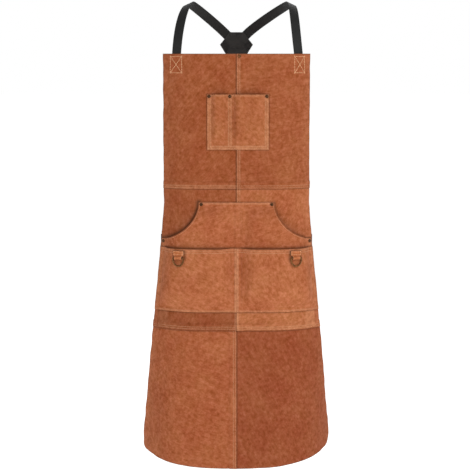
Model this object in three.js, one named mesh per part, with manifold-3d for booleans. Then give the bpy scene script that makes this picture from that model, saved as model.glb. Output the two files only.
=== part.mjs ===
// Leather welding apron: bib, waist and skirt panels, sewn pockets, D-rings on leather tabs,
// and cross-back webbing straps that close with a side-release buckle at each hip.
// Millimetres. +Z is up, -Y is the front, +X is the wearer's left as seen from the front.
// The origin lies on the flat back face of the bib, on its middle line.

import * as THREE from 'three';
import { mergeVertices } from 'three/addons/utils/BufferGeometryUtils.js';
import Module from 'manifold-3d';

const wasm = await Module();
wasm.setup();

// ---------------------------------------------------------------- driving dimensions
const TOP = 60; // the bib's top edge above the origin
const LENGTH = 1067; // top edge to the middle of the hem
const BIB_HALF = 192; // half the flat width of the bib
const HEM_HALF = 294; // half the flat width near the hem
const FLARE_START = 380; // below the top edge, where the sides begin to spread
const FLARE_END = 1000; // below the top edge, where they are widest
const FLARE_MORE = 43; // the part of the spread that comes late, so the sides bow a little
const HEM_RISE = { left: 29, right: 42 }; // how much the hem climbs toward its corners
const LEFT_CORNER = 18; // corner radii of the hem
const RIGHT_CORNER = 30;
const FLAT_HALF = 80; // the front lies flat this far to each side
const WRAP_RADIUS = 180; // and then curves back around the wearer
const LEATHER = 1.6;
const GAP = 0.3; // between pieces that touch
const LAP = 14; // how far two panels overlap at a seam
const RAMP = 6; // the width of the step beside a seam
const MAX_STEP = 17; // the widest facet across the apron

const WAIST_SEAM = 339; // drops below the top edge
const POCKET_MOUTH = 490;
const POCKET_TALL = 165; // the lower pockets, mouth to bottom
const BAND_TALL = 48; // the reinforced strip between the pockets and the skirt seam
const POCKET_BOTTOM = POCKET_MOUTH + POCKET_TALL;
const SKIRT_SEAM = POCKET_BOTTOM + BAND_TALL;

const CHEST_TOP = 101;
const CHEST_BOTTOM = 240;
const CHEST_LEFT = -74;
const CHEST_RIGHT = 81;
const CHEST_DIVIDER = -17;
const CHEST_DEPTH = 10; // how far the pocket stands open
const SEAM_MARGIN = 10; // the flat strip along a sewn pocket edge
const SIDE_MARGIN = 16; // and along the apron's own side edge

const KANGAROO_TOP = 373;
const KANGAROO_HALF = 96;
const HAND_CORNER = 468; // drop at which each hand opening meets the side edge
const KANGAROO_DEPTH = 15;
const POCKET_DEPTH = 9;
const POCKET_INSET = 3; // pockets stop short of the apron's side edge
const BAND_INSET = 16;

const WEB_WIDTH = 25;
const WEB_THICK = 1.5;
const WEB_SEAT = 0.9; // from the curved leather to the middle of flat webbing
const STRAP_AT = { left: 153, right: 158 }; // flat distance of each strap from the middle
const STRAP_TAIL = 52; // how far it runs down the bib's back
const STRAP_RISE = 128; // top of the shoulder above the bib
const CREST_OUT = { left: 121, right: 139 };
const CREST_TURN = 0.1; // inward lean of the strap on the shoulder
const LEAN_IN = { left: 6, right: 10 }; // and of its rise from the bib
const CREST_BACK = 135;
const PATCH_BACK = 265; // depth of the cross patch behind the bib
const PATCH_UP = 24; // its crossing point above the bib's top edge
const PATCH_HALF = 44;
const PATCH_TOP_HALF = 18;
const PATCH_UPPER = 33;
const PATCH_LOWER = 42;
const STRAP_ANGLE = { upper: Math.PI / 4, lower: 0.49 }; // from the vertical, in the patch

const HIP_DROP = 472; // middle of the side buckles below the top edge
const TAB_SEWN = 36;
const TAB_REACH = 22;
const BAR_HALF = 1.6; // half the thickness of the bar that the tab loops around
const BUCKLE_WIDTH = 33;
const BUCKLE_CAVITY = 26.8;
const SOCKET_LENGTH = 34;
const SOCKET_THICK = 10;
const SOCKET_WALL = 2.1;
const PLUG_LENGTH = 24;
const PLUG_THICK = 5;
const TAIL_LENGTH = 45;

const RING_WIRE = 2; // radius of the D-ring's wire
const RING_HALF = 14;
const RING_BOW = 18;
const RING_CORNER = 3;
const RING_AT = { left: BIB_HALF - 54, right: BIB_HALF - 51 };
const RING_TAB_WIDTH = 19; // around the ring's bar
const RING_TAB_PLATE = 28; // where it is sewn down
const RING_TAB_SEWN = 10; // how far it keeps that width
const RING_TAB_DROP = 18;
const RING_TAB_BELOW = 4; // top of the tab below the pocket's mouth

const RIVET_RADIUS = 4.2;
const RIVET_HEIGHT = 1.8;
const RIVET_IN = 5;

const LAYER = LEATHER + GAP;
const HALF_WEB = WEB_THICK / 2;

// ---------------------------------------------------------------- materials
function finish(color, roughness, metalness = 0) {
  return { color, roughness, metalness };
}
const RUST = finish(0xa0552c, 0.9);
const RUST_DARK = finish(0x8a4726, 0.92);
const TAN = finish(0xb26a38, 0.9);
const BLACK_LEATHER = finish(0x201c1a, 0.7);
const WEBBING = finish(0x191a1c, 0.85);
const PLASTIC = finish(0x141414, 0.4);
const BRASS = finish(0x6d5a38, 0.4, 0.9);

const apron = new THREE.Group();

function place(name, geometry, look) {
  const mesh = new THREE.Mesh(geometry, new THREE.MeshStandardMaterial(look));
  mesh.name = name;
  apron.add(mesh);
  return mesh;
}

// ---------------------------------------------------------------- the apron's surface
// A place on the apron is (s, z): s runs across the flat leather, z is height. lift is the
// distance in front of the innermost layer's back face.
function turnAt(s) {
  return Math.max(0, Math.abs(s) - FLAT_HALF) / WRAP_RADIUS;
}

function outward(s) {
  const u = turnAt(s);
  return new THREE.Vector3(Math.sign(s) * Math.sin(u), -Math.cos(u), 0);
}

function onApron(s, z, lift) {
  const u = turnAt(s);
  if (u === 0) return new THREE.Vector3(s, -lift, z);
  const across = FLAT_HALF + (WRAP_RADIUS + lift) * Math.sin(u);
  return new THREE.Vector3(Math.sign(s) * across, WRAP_RADIUS - (WRAP_RADIUS + lift) * Math.cos(u), z);
}

function height(drop) {
  return TOP - drop;
}

const FLARE_EVEN = HEM_HALF - BIB_HALF - FLARE_MORE;

function halfWidth(z) {
  const t = THREE.MathUtils.clamp((TOP - z - FLARE_START) / (FLARE_END - FLARE_START), 0, 1);
  return BIB_HALF + FLARE_EVEN * t + FLARE_MORE * t * t;
}

function sideHeight(s) {
  // where the side edge crosses the column at s; above the bib's width there is no limit
  if (Math.abs(s) <= BIB_HALF) return Infinity;
  const root = Math.sqrt(FLARE_EVEN ** 2 + 4 * FLARE_MORE * (Math.abs(s) - BIB_HALF));
  const t = (root - FLARE_EVEN) / (2 * FLARE_MORE);
  return height(FLARE_START + t * (FLARE_END - FLARE_START));
}

function hemHeight(s) {
  const corner = s < 0 ? LEFT_CORNER : RIGHT_CORNER;
  const share = Math.abs(s) / HEM_HALF;
  const past = Math.max(0, Math.abs(s) - (HEM_HALF - corner));
  const rounding = corner - Math.sqrt(corner * corner - past * past);
  const rise = s < 0 ? HEM_RISE.left : HEM_RISE.right;
  return height(LENGTH) + rise * share ** 2 + rounding;
}

function rise(value, from, to) {
  return THREE.MathUtils.clamp((value - from) / (to - from), 0, 1);
}

// Seams step the leather up by a layer where another panel lies beneath.
function overLeftPanel(s) {
  return 1 - rise(s, LAP + 1, LAP + 1 + RAMP);
}

function overRightPanel(s) {
  return rise(s, -LAP - 1 - RAMP, -LAP - 1);
}

function overWaist(z) {
  return 1 - rise(z, height(WAIST_SEAM) + LAP + 1, height(WAIST_SEAM) + LAP + 1 + RAMP);
}

function overSkirt(z) {
  return 1 - rise(z, height(SKIRT_SEAM) + LAP + 1, height(SKIRT_SEAM) + LAP + 1 + RAMP);
}

function overLap(s) {
  return rise(s, -RAMP - 1, -1) * overLeftPanel(s);
}

const lifts = {
  skirtRight: () => 0,
  skirtLeft: (s) => LAYER * overRightPanel(s),
  waistLeft: (s, z) => LAYER * overSkirt(z) * (1 + overRightPanel(s)),
  waistRight: (s, z) => LAYER * (overLeftPanel(s) + overSkirt(z) * (1 + overLeftPanel(s))),
  bibLeft: (s, z) => LAYER * overWaist(z) * (1 + overRightPanel(s)),
  bibRight: (s, z) => LAYER * (overWaist(z) + overLeftPanel(s) * (1 + overWaist(z))),
  onPanels: (s) => LAYER * (1 + overLap(s)),
};

// ---------------------------------------------------------------- columns shared by every layer
const hipHalf = halfWidth(height(HIP_DROP));
const handHalf = halfWidth(height(HAND_CORNER));
const seamMarks = [-LAP - 1 - RAMP, -LAP - 1, -LAP, -RAMP - 1, -1, 0, 1, LAP, LAP + 1, LAP + 1 + RAMP];
const pocketMarks = [CHEST_LEFT, CHEST_LEFT + SEAM_MARGIN, CHEST_DIVIDER - SEAM_MARGIN / 2, CHEST_DIVIDER,
  CHEST_DIVIDER + SEAM_MARGIN / 2, CHEST_RIGHT - SEAM_MARGIN, CHEST_RIGHT];
const sideMarks = [FLAT_HALF, KANGAROO_HALF, KANGAROO_HALF + 2, KANGAROO_HALF + 8, handHalf - SIDE_MARGIN, BIB_HALF,
  halfWidth(height(POCKET_BOTTOM)) - BAND_INSET, halfWidth(height(SKIRT_SEAM)), HEM_HALF];

function filled(marks, step) {
  const sorted = [...new Set(marks)].sort((a, b) => a - b);
  const all = [];
  for (let i = 0; i + 1 < sorted.length; i++) {
    const n = Math.ceil((sorted[i + 1] - sorted[i]) / step);
    for (let k = 0; k < n; k++) all.push(sorted[i] + ((sorted[i + 1] - sorted[i]) * k) / n);
  }
  all.push(sorted.at(-1));
  return all;
}

const cornerMarks = [
  ...[0.35, 0.7, 0.9].map((t) => -(HEM_HALF - LEFT_CORNER * (1 - t))),
  ...[0.35, 0.7, 0.9].map((t) => HEM_HALF - RIGHT_CORNER * (1 - t)),
];
const COLUMNS = filled([...seamMarks, ...pocketMarks, ...sideMarks, ...sideMarks.map((s) => -s),
  ...cornerMarks], MAX_STEP);

function columnsBetween(a, b) {
  const inside = COLUMNS.filter((s) => s > a + 0.6 && s < b - 0.6);
  return [a, ...inside, b];
}

// A closed sheet of leather: rowsAt(s) gives each column's heights, bottom first.
function sheet(from, to, rowsAt, lift) {
  const columns = columnsBetween(from, to);
  const rows = columns.map(rowsAt);
  const n = rows[0].length;
  const positions = [];
  for (const side of [0, LEATHER]) {
    columns.forEach((s, i) => {
      for (const z of rows[i]) positions.push(...onApron(s, z, lift(s, z) + side).toArray());
    });
  }
  const index = [];
  const back = (i, j) => i * n + j;
  const front = (i, j) => columns.length * n + i * n + j;
  const quad = (a, b, c, d) => index.push(a, b, c, a, c, d);
  for (let i = 0; i + 1 < columns.length; i++) {
    for (let j = 0; j + 1 < n; j++) {
      quad(front(i, j), front(i + 1, j), front(i + 1, j + 1), front(i, j + 1));
      quad(back(i, j), back(i, j + 1), back(i + 1, j + 1), back(i + 1, j));
    }
    quad(back(i, 0), back(i + 1, 0), front(i + 1, 0), front(i, 0));
    quad(front(i, n - 1), front(i + 1, n - 1), back(i + 1, n - 1), back(i, n - 1));
  }
  const last = columns.length - 1;
  for (let j = 0; j + 1 < n; j++) {
    quad(back(0, j), front(0, j), front(0, j + 1), back(0, j + 1));
    quad(front(last, j), back(last, j), back(last, j + 1), front(last, j + 1));
  }
  const geometry = new THREE.BufferGeometry();
  geometry.setAttribute('position', new THREE.Float32BufferAttribute(positions, 3));
  geometry.setIndex(index);
  return geometry;
}

// Heights from bottom to top: fixed offsets near each end, even steps between them.
function rowSteps(bottom, top, lows, middle, highs) {
  const need = (lows.at(-1) ?? 0) + (highs.at(-1) ?? 0) + middle;
  const squeeze = Math.min(1, (top - bottom) / (need * 1.3));
  const low = lows.map((d) => bottom + d * squeeze);
  const high = highs.map((d) => top - d * squeeze).reverse();
  const a = low.at(-1) ?? bottom;
  const b = high[0] ?? top;
  const between = [];
  for (let k = 1; k < middle; k++) between.push(a + ((b - a) * k) / middle);
  return [bottom, ...low, ...between, ...high, top];
}

const SEAM_ROWS = [LAP + 1, LAP + 1 + RAMP];

function makePanels() {
  const bibRows = () => rowSteps(height(WAIST_SEAM), TOP, SEAM_ROWS, 2, []);
  place('bib_left', sheet(-BIB_HALF, LAP, bibRows, lifts.bibLeft), RUST);
  place('bib_right', sheet(0, BIB_HALF, bibRows, lifts.bibRight), RUST);

  const waistTop = (s) => Math.min(height(WAIST_SEAM) + LAP, sideHeight(s));
  const waistRows = (s) => rowSteps(height(SKIRT_SEAM), waistTop(s), SEAM_ROWS, 2, []);
  const waistHalf = halfWidth(height(SKIRT_SEAM)) - 1;
  place('waist_left', sheet(-waistHalf, LAP, waistRows, lifts.waistLeft), RUST);
  place('waist_right', sheet(0, waistHalf, waistRows, lifts.waistRight), RUST);

  const skirtTop = (s) => Math.min(height(SKIRT_SEAM) + LAP, sideHeight(s));
  const skirtRows = (s) => rowSteps(hemHeight(s), Math.max(skirtTop(s), hemHeight(s) + 2), [], 3, []);
  place('skirt_left', sheet(-HEM_HALF, 0, skirtRows, lifts.skirtLeft), RUST);
  place('skirt_right', sheet(-LAP, HEM_HALF, skirtRows, lifts.skirtRight), RUST_DARK);
}

// ---------------------------------------------------------------- pockets
function swell(distance, reach) {
  return Math.sin((Math.PI / 2) * rise(distance, 0, reach));
}

function chestOpen(s, z) {
  const fromDivider = Math.abs(s - CHEST_DIVIDER) - SEAM_MARGIN / 2;
  const edge = s < CHEST_DIVIDER ? s - CHEST_LEFT : CHEST_RIGHT - s;
  const reach = s < CHEST_DIVIDER ? 15 : 24;
  const up = z - height(CHEST_BOTTOM) - SEAM_MARGIN;
  return CHEST_DEPTH * swell(fromDivider, reach) * swell(edge - SEAM_MARGIN, reach) * swell(up, 40);
}

function makeChestPocket() {
  const rows = () => rowSteps(height(CHEST_BOTTOM), height(CHEST_TOP), [SEAM_MARGIN, SEAM_MARGIN + 13], 5, []);
  const lift = (s, z) => lifts.onPanels(s) + chestOpen(s, z);
  place('chest_pocket', sheet(CHEST_LEFT, CHEST_RIGHT, rows, lift), TAN);
}

const LOW_STEPS = [0, 0.06, 0.16, 0.28, 0.42, 0.6, 0.8, 1];
const HIGH_STEPS = [0.25, 0.55, 0.8, 1];
const TIP = 4; // the short edge left at a pocket's outer top corner

function pocketSide(s) {
  return sideHeight(Math.abs(s) + POCKET_INSET);
}

function lowRows(s) {
  const bottom = height(POCKET_BOTTOM);
  const top = Math.min(height(POCKET_MOUTH), pocketSide(s) - TIP);
  return LOW_STEPS.map((t) => bottom + t * (top - bottom));
}

function handOpening(s) {
  const reach = handHalf - KANGAROO_HALF;
  const t = rise(handHalf - Math.abs(s), 0, reach);
  return height(KANGAROO_TOP) - (HAND_CORNER - KANGAROO_TOP) * Math.sqrt(1 - t * t);
}

function kangarooRows(s) {
  const low = lowRows(s);
  const top = Math.min(handOpening(s), pocketSide(s));
  const mouth = low.at(-1);
  const margin = Math.min(SEAM_MARGIN, (top - mouth) * 0.4);
  return [...low, ...HIGH_STEPS.map((t) => mouth + t * (top - margin - mouth)), top];
}

function kangarooOpen(s, z) {
  const inner = swell(Math.abs(s) - SEAM_MARGIN, 45);
  const outer = swell(halfWidth(Math.min(z, height(HAND_CORNER))) - Math.abs(s) - SIDE_MARGIN, 42);
  const below = swell(height(KANGAROO_TOP) - z - SEAM_MARGIN, 45);
  const above = swell(z - height(POCKET_BOTTOM) - SEAM_MARGIN, 60);
  return KANGAROO_DEPTH * inner * outer * below * above;
}

function lowerOpen(s, z) {
  const inner = swell(Math.abs(s) - SEAM_MARGIN, 35);
  const outer = swell(halfWidth(z) - Math.abs(s) - SIDE_MARGIN, 42);
  return POCKET_DEPTH * inner * outer * swell(z - height(POCKET_BOTTOM) - SEAM_MARGIN, 60);
}

function kangarooLift(s, z) {
  return lifts.onPanels(s) + kangarooOpen(s, z);
}

function lowerLift(s, z) {
  return kangarooLift(s, z) + LAYER + lowerOpen(s, z);
}

function makeLowerPockets() {
  const reach = halfWidth(height(POCKET_BOTTOM)) - POCKET_INSET - 1;
  place('kangaroo_pocket', sheet(-reach, reach, kangarooRows, kangarooLift), RUST);
  place('lower_pocket_left', sheet(-reach, -1, lowRows, lowerLift), TAN);
  place('lower_pocket_right', sheet(1, reach, lowRows, lowerLift), TAN);

  const bandReach = halfWidth(height(POCKET_BOTTOM)) - BAND_INSET;
  const bandFoot = height(SKIRT_SEAM) + 2;
  const bandSteps = SEAM_ROWS.map((d) => d - 2);
  const bandRows = () => rowSteps(bandFoot, height(POCKET_BOTTOM) - 0.6, bandSteps, 1, []);
  const leftLift = (s, z) => lifts.waistLeft(s, z) + LAYER;
  const rightLift = (s, z) => lifts.waistRight(s, z) + LAYER;
  place('pocket_band_left', sheet(-bandReach, -1, bandRows, leftLift), RUST_DARK);
  place('pocket_band_right', sheet(1, bandReach, bandRows, rightLift), RUST);
}

// ---------------------------------------------------------------- rivets
function capGeometry(radius, tall) {
  const profile = [new THREE.Vector2(0, 0), new THREE.Vector2(radius, 0), new THREE.Vector2(radius, tall * 0.35),
    new THREE.Vector2(radius * 0.72, tall * 0.85), new THREE.Vector2(0, tall)];
  return new THREE.LatheGeometry(profile, 12);
}

function rivet(name, s, z, lift) {
  // a cap that sits on the leather, its axis along the leather's outward normal
  const mesh = place(name, capGeometry(RIVET_RADIUS, RIVET_HEIGHT), BRASS);
  mesh.position.copy(onApron(s, z, lift + LEATHER + GAP));
  mesh.quaternion.setFromUnitVectors(new THREE.Vector3(0, 1, 0), outward(s));
}

function makeRivets() {
  const chestZ = height(CHEST_TOP) - RIVET_IN;
  rivet('chest_rivet_left', CHEST_LEFT + RIVET_IN, chestZ, lifts.onPanels(CHEST_LEFT));
  rivet('chest_rivet_middle', CHEST_DIVIDER, chestZ, lifts.onPanels(CHEST_DIVIDER));
  rivet('chest_rivet_right', CHEST_RIGHT - RIVET_IN, chestZ, lifts.onPanels(CHEST_RIGHT));
  const topZ = height(KANGAROO_TOP) - RIVET_IN;
  const topS = KANGAROO_HALF - RIVET_IN - 2;
  const cornerS = handHalf - POCKET_INSET - RIVET_IN - 1;
  const cornerZ = height(HAND_CORNER) - RIVET_IN - 2;
  for (const [side, sign] of [['left', -1], ['right', 1]]) {
    rivet(`pocket_top_rivet_${side}`, sign * topS, topZ, lifts.onPanels(topS));
    rivet(`pocket_side_rivet_${side}`, sign * cornerS, cornerZ, lifts.onPanels(cornerS));
  }
  rivet('bib_rivet', LAP / 2, TOP - RIVET_IN - 1, LAYER);
}

// ---------------------------------------------------------------- D-rings and their tabs
function ringSeat(side, sign) {
  // a frame on the lower pocket's front: X across, Y out of the leather, Z up
  const s = sign * RING_AT[side];
  const z = height(POCKET_MOUTH) - RING_TAB_BELOW;
  const group = new THREE.Group();
  const out = outward(s);
  const across = new THREE.Vector3().crossVectors(out, new THREE.Vector3(0, 0, 1));
  group.matrix.makeBasis(across, out, new THREE.Vector3(0, 0, 1));
  group.matrix.setPosition(onApron(s, z, lowerLift(s, z - RING_TAB_DROP / 2) + LEATHER));
  group.matrixAutoUpdate = false;
  apron.add(group);
  return group;
}

const RING_CLEAR = 0.4;
const TAB_OUTER = RING_WIRE + RING_CLEAR + LEATHER;
const TAB_OFF = GAP + 0.2; // a flat tab on leather that curves away

function ringTabGeometry() {
  const centre = TAB_OFF + TAB_OUTER;
  const plate = TAB_OFF + 2 * LEATHER;
  const meet = Math.sqrt(TAB_OUTER ** 2 - (centre - plate) ** 2);
  const shape = new THREE.Shape();
  shape.moveTo(TAB_OFF, 0);
  shape.lineTo(plate, 0);
  shape.lineTo(plate, -RING_TAB_DROP + meet);
  shape.absarc(centre, -RING_TAB_DROP, TAB_OUTER, Math.atan2(meet, plate - centre), -Math.PI, true);
  const eye = new THREE.Path();
  eye.absarc(centre, -RING_TAB_DROP, RING_WIRE + RING_CLEAR, 0, 2 * Math.PI, false);
  shape.holes.push(eye);
  const solid = new THREE.ExtrudeGeometry(shape, { depth: RING_TAB_PLATE, bevelEnabled: false, curveSegments: 8 });
  solid.translate(0, 0, -RING_TAB_PLATE / 2);
  // the section's own x is the leather's outward direction and its y is up
  const turn = new THREE.Matrix4().makeBasis(new THREE.Vector3(0, 1, 0), new THREE.Vector3(0, 0, 1),
    new THREE.Vector3(1, 0, 0));
  return fromManifold(toManifold(solid.applyMatrix4(turn)).intersect(ringTabOutline()));
}

// The tab seen from the front: a wide plate that narrows to the loop.
function ringTabOutline() {
  const plate = RING_TAB_PLATE / 2;
  const loop = RING_TAB_WIDTH / 2;
  const neck = -RING_TAB_DROP + TAB_OUTER;
  const half = [[plate, 1], [plate, -RING_TAB_SEWN], [loop, neck], [loop, -RING_TAB_DROP - TAB_OUTER - 1]];
  const mirrored = half.map(([x, z]) => [-x, z]).reverse();
  const outline = new THREE.Shape([...half, ...mirrored].map(([x, z]) => new THREE.Vector2(x, z)));
  const prism = new THREE.ExtrudeGeometry(outline, { depth: 20, bevelEnabled: false });
  prism.rotateX(Math.PI / 2); // the outline now stands up and the depth runs toward -Y
  return toManifold(prism.translate(0, 15, 0));
}

function ringPath() {
  const points = [];
  const bar = RING_HALF - RING_CORNER;
  for (const x of [-bar, 0]) points.push([x, 0]);
  for (let k = 0; k <= 3; k++) {
    const a = Math.PI / 2 - (k * Math.PI) / 6;
    points.push([bar + RING_CORNER * Math.cos(a), -RING_CORNER + RING_CORNER * Math.sin(a)]);
  }
  for (let k = 1; k < 12; k++) {
    const a = -(k * Math.PI) / 12;
    points.push([RING_HALF * Math.cos(a), -RING_CORNER + RING_BOW * Math.sin(a)]);
  }
  for (let k = 0; k < 3; k++) {
    const a = Math.PI - (k * Math.PI) / 6;
    points.push([-bar + RING_CORNER * Math.cos(a), -RING_CORNER + RING_CORNER * Math.sin(a)]);
  }
  return points.map(([x, z]) => new THREE.Vector3(x, 0, z));
}

function closedWire(points, radius, sides) {
  const positions = [];
  const index = [];
  const count = points.length;
  points.forEach((p, i) => {
    const ahead = points[(i + 1) % count];
    const behind = points[(i + count - 1) % count];
    const along = ahead.clone().sub(behind).normalize();
    const flat = new THREE.Vector3(0, 1, 0);
    const inPlane = along.clone().cross(flat);
    for (let k = 0; k < sides; k++) {
      const a = (2 * Math.PI * (k + 0.5)) / sides;
      const at = p.clone().addScaledVector(inPlane, radius * Math.cos(a)).addScaledVector(flat, radius * Math.sin(a));
      positions.push(...at.toArray());
    }
  });
  for (let i = 0; i < count; i++) {
    for (let k = 0; k < sides; k++) {
      const a = i * sides + k;
      const b = i * sides + ((k + 1) % sides);
      const c = ((i + 1) % count) * sides + ((k + 1) % sides);
      const d = ((i + 1) % count) * sides + k;
      index.push(a, c, b, a, d, c);
    }
  }
  const geometry = new THREE.BufferGeometry();
  geometry.setAttribute('position', new THREE.Float32BufferAttribute(positions, 3));
  geometry.setIndex(index);
  return geometry;
}

function makeRings() {
  for (const [side, sign] of [['left', -1], ['right', 1]]) {
    const seat = ringSeat(side, sign);
    const tab = place(`ring_tab_${side}`, ringTabGeometry(), RUST);
    const ring = place(`d_ring_${side}`, closedWire(ringPath(), RING_WIRE, 8), BRASS);
    ring.position.set(0, TAB_OFF + TAB_OUTER, -RING_TAB_DROP);
    seat.add(tab, ring);
  }
}

// ---------------------------------------------------------------- webbing
// A flat strap through the given points; widths gives the direction across it at each point.
function ribbon(points, widths) {
  const positions = [];
  const index = [];
  points.forEach((p, i) => {
    const along = points[Math.min(i + 1, points.length - 1)].clone().sub(points[Math.max(i - 1, 0)]).normalize();
    const across = widths[i].clone().addScaledVector(along, -widths[i].dot(along)).normalize();
    const face = along.clone().cross(across);
    for (const [a, b] of [[-1, -1], [1, -1], [1, 1], [-1, 1]]) {
      const at = p.clone().addScaledVector(across, (a * WEB_WIDTH) / 2).addScaledVector(face, b * HALF_WEB);
      positions.push(...at.toArray());
    }
  });
  for (let i = 0; i + 1 < points.length; i++) {
    for (let k = 0; k < 4; k++) {
      const a = i * 4 + k;
      const b = i * 4 + ((k + 1) % 4);
      index.push(a, b, b + 4, a, b + 4, a + 4);
    }
  }
  const end = (points.length - 1) * 4;
  index.push(0, 2, 1, 0, 3, 2, end, end + 1, end + 2, end, end + 2, end + 3);
  const geometry = new THREE.BufferGeometry();
  geometry.setAttribute('position', new THREE.Float32BufferAttribute(positions, 3));
  geometry.setIndex(index);
  return geometry;
}

function bezier(a, b, c, d, steps) {
  return new THREE.CubicBezierCurve3(a, b, c, d).getPoints(steps);
}

const PATCH_Z = TOP + PATCH_UP;
// webbing lies in two layers inside the patch: the nearer one holds upper left and lower right
const PATCH_LAYER = { near: PATCH_BACK, far: PATCH_BACK + WEB_THICK + GAP };
const END_CLEAR = 4; // between the two webbing ends that meet in one layer

function patchLine(sign, angle, vertical, distance, depth) {
  return new THREE.Vector3(sign * Math.sin(angle) * distance, depth, PATCH_Z + vertical * Math.cos(angle) * distance);
}

function makeShoulderStrap(side, sign) {
  const s = sign * STRAP_AT[side];
  const depth = side === 'left' ? PATCH_LAYER.near : PATCH_LAYER.far;
  const seat = (z) => onApron(s, z, -WEB_SEAT - HALF_WEB);
  const foot = seat(TOP - STRAP_TAIL);
  const edge = seat(TOP + 2);
  const crest = new THREE.Vector3(sign * CREST_OUT[side], CREST_BACK, TOP + STRAP_RISE);
  const over = new THREE.Vector3(-sign * CREST_TURN, 1, 0).normalize();
  const entry = patchLine(sign, STRAP_ANGLE.upper, 1, 42, depth);
  const end = patchLine(sign, STRAP_ANGLE.upper, 1, END_CLEAR, depth);
  const intoPatch = end.clone().sub(entry).normalize();
  const front = bezier(edge, edge.clone().add(new THREE.Vector3(-sign * LEAN_IN[side], 2, 88)),
    crest.clone().addScaledVector(over, -60), crest, 12);
  const rear = bezier(crest, crest.clone().addScaledVector(over, 60),
    entry.clone().addScaledVector(intoPatch, -32), entry, 12);
  const points = [foot, foot.clone().lerp(edge, 0.5), ...front, ...rear.slice(1), end];
  const n = outward(s);
  const atBib = new THREE.Vector3(n.y, -n.x, 0);
  const atCrest = new THREE.Vector3(-0.89, 0, sign * 0.45);
  const atPatch = new THREE.Vector3(-Math.cos(STRAP_ANGLE.upper), 0, sign * Math.sin(STRAP_ANGLE.upper));
  const widths = points.map((p, i) => {
    if (i <= 2) return atBib;
    if (i <= 14) return atBib.clone().lerp(atCrest, (i - 2) / 12);
    return atCrest.clone().lerp(atPatch, Math.min(1, (i - 14) / 10));
  });
  place(`shoulder_strap_${side}`, ribbon(points, widths), WEBBING);
}

// Each hip: everything from the tab to the plug lies level, so it is drawn in plan.
const HIP_Z = height(HIP_DROP);
const edgeBase = onApron(hipHalf, HIP_Z, -WEB_SEAT - HALF_WEB);
const BAR = { x: edgeBase.x - 2.8, y: edgeBase.y + TAB_REACH };
const LOOP = BAR_HALF * Math.SQRT2 + GAP + HALF_WEB;
const SLOT = { front: 39.2, middle: 43, rear: 47, back: 50.8 };

function lowerStrapPoints(sign) {
  const at = (x, y) => new THREE.Vector3(sign * (BAR.x + x), BAR.y + y, HIP_Z);
  const out = PLUG_THICK / 2 + GAP + HALF_WEB;
  const tailOut = out + WEB_THICK + GAP;
  const slotOne = (SLOT.front + SLOT.middle) / 2;
  const slotTwo = (SLOT.rear + SLOT.back) / 2;
  const barMiddle = (SLOT.middle + SLOT.rear) / 2;
  const plugEnd = SOCKET_LENGTH + PLUG_LENGTH;
  const level = [at(tailOut, plugEnd + TAIL_LENGTH), at(tailOut, plugEnd + TAIL_LENGTH / 2), at(tailOut, plugEnd),
    at(tailOut, barMiddle), at(out, slotOne), at(1, slotOne - 0.6), at(-1, slotOne - 0.6),
    at(-out + 0.2, slotOne + 0.6), at(-out, barMiddle), at(-out + 0.2, slotTwo - 0.6), at(-1, slotTwo + 0.3),
    at(1, slotTwo + 0.3), at(out, slotTwo + 1.2), at(out, plugEnd - 5), at(out, plugEnd + 1)];
  return { level, out };
}

function makeLowerStrap(side, sign) {
  const { level } = lowerStrapPoints(sign);
  const depth = side === 'left' ? PATCH_LAYER.far : PATCH_LAYER.near;
  const start = level.at(-1);
  const entry = patchLine(sign, STRAP_ANGLE.lower, -1, 52, depth);
  const end = patchLine(sign, STRAP_ANGLE.lower, -1, END_CLEAR, depth);
  const upward = end.clone().sub(entry).normalize();
  const reach = TAIL_LENGTH + 5;
  const straight = start.clone().add(new THREE.Vector3(0, reach, 0));
  const main = bezier(straight, straight.clone().add(new THREE.Vector3(-sign * 4, 95, 12)),
    entry.clone().addScaledVector(upward, -300), entry, 24);
  const points = [...level, start.clone().lerp(straight, 0.5), ...main, end];
  const level3 = new THREE.Vector3(0, 0, 1);
  const atPatch = new THREE.Vector3(sign * Math.cos(STRAP_ANGLE.lower), 0, Math.sin(STRAP_ANGLE.lower));
  if (sign < 0) atPatch.set(-atPatch.x, 0, -atPatch.z).negate();
  const widths = points.map((p, i) => {
    const t = THREE.MathUtils.clamp((i - level.length - 1) / 16, 0, 1);
    return level3.clone().lerp(atPatch, t);
  });
  place(`lower_strap_${side}`, ribbon(points, widths), WEBBING);
}

// ---------------------------------------------------------------- cross patch
function makePatch() {
  const shape = new THREE.Shape();
  shape.moveTo(-PATCH_HALF, 0);
  shape.lineTo(-PATCH_TOP_HALF, -PATCH_LOWER);
  shape.lineTo(PATCH_TOP_HALF, -PATCH_LOWER);
  shape.lineTo(PATCH_HALF, 0);
  shape.lineTo(PATCH_TOP_HALF, PATCH_UPPER);
  shape.lineTo(-PATCH_TOP_HALF, PATCH_UPPER);
  const hex = new THREE.ExtrudeGeometry(shape, { depth: LEATHER, bevelEnabled: false });
  hex.rotateX(Math.PI / 2); // the depth now runs toward -Y
  const nearFace = PATCH_LAYER.near - HALF_WEB - GAP;
  const farFace = PATCH_LAYER.far + HALF_WEB + GAP + LEATHER;
  place('patch_inner', hex.clone(), BLACK_LEATHER).position.set(0, nearFace, PATCH_Z);
  place('patch_outer', hex.clone(), BLACK_LEATHER).position.set(0, farFace, PATCH_Z);
}

// ---------------------------------------------------------------- hip tabs and buckles
function thickened(points, half) {
  const sides = [1, -1].map((sign) => points.map((p, i) => {
    const a = points[Math.max(i - 1, 0)];
    const b = points[Math.min(i + 1, points.length - 1)];
    const along = b.clone().sub(a).normalize();
    return new THREE.Vector2(p.x - sign * along.y * half, p.y + sign * along.x * half);
  }));
  return new THREE.Shape([...sides[0], ...sides[1].reverse()]);
}

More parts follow.
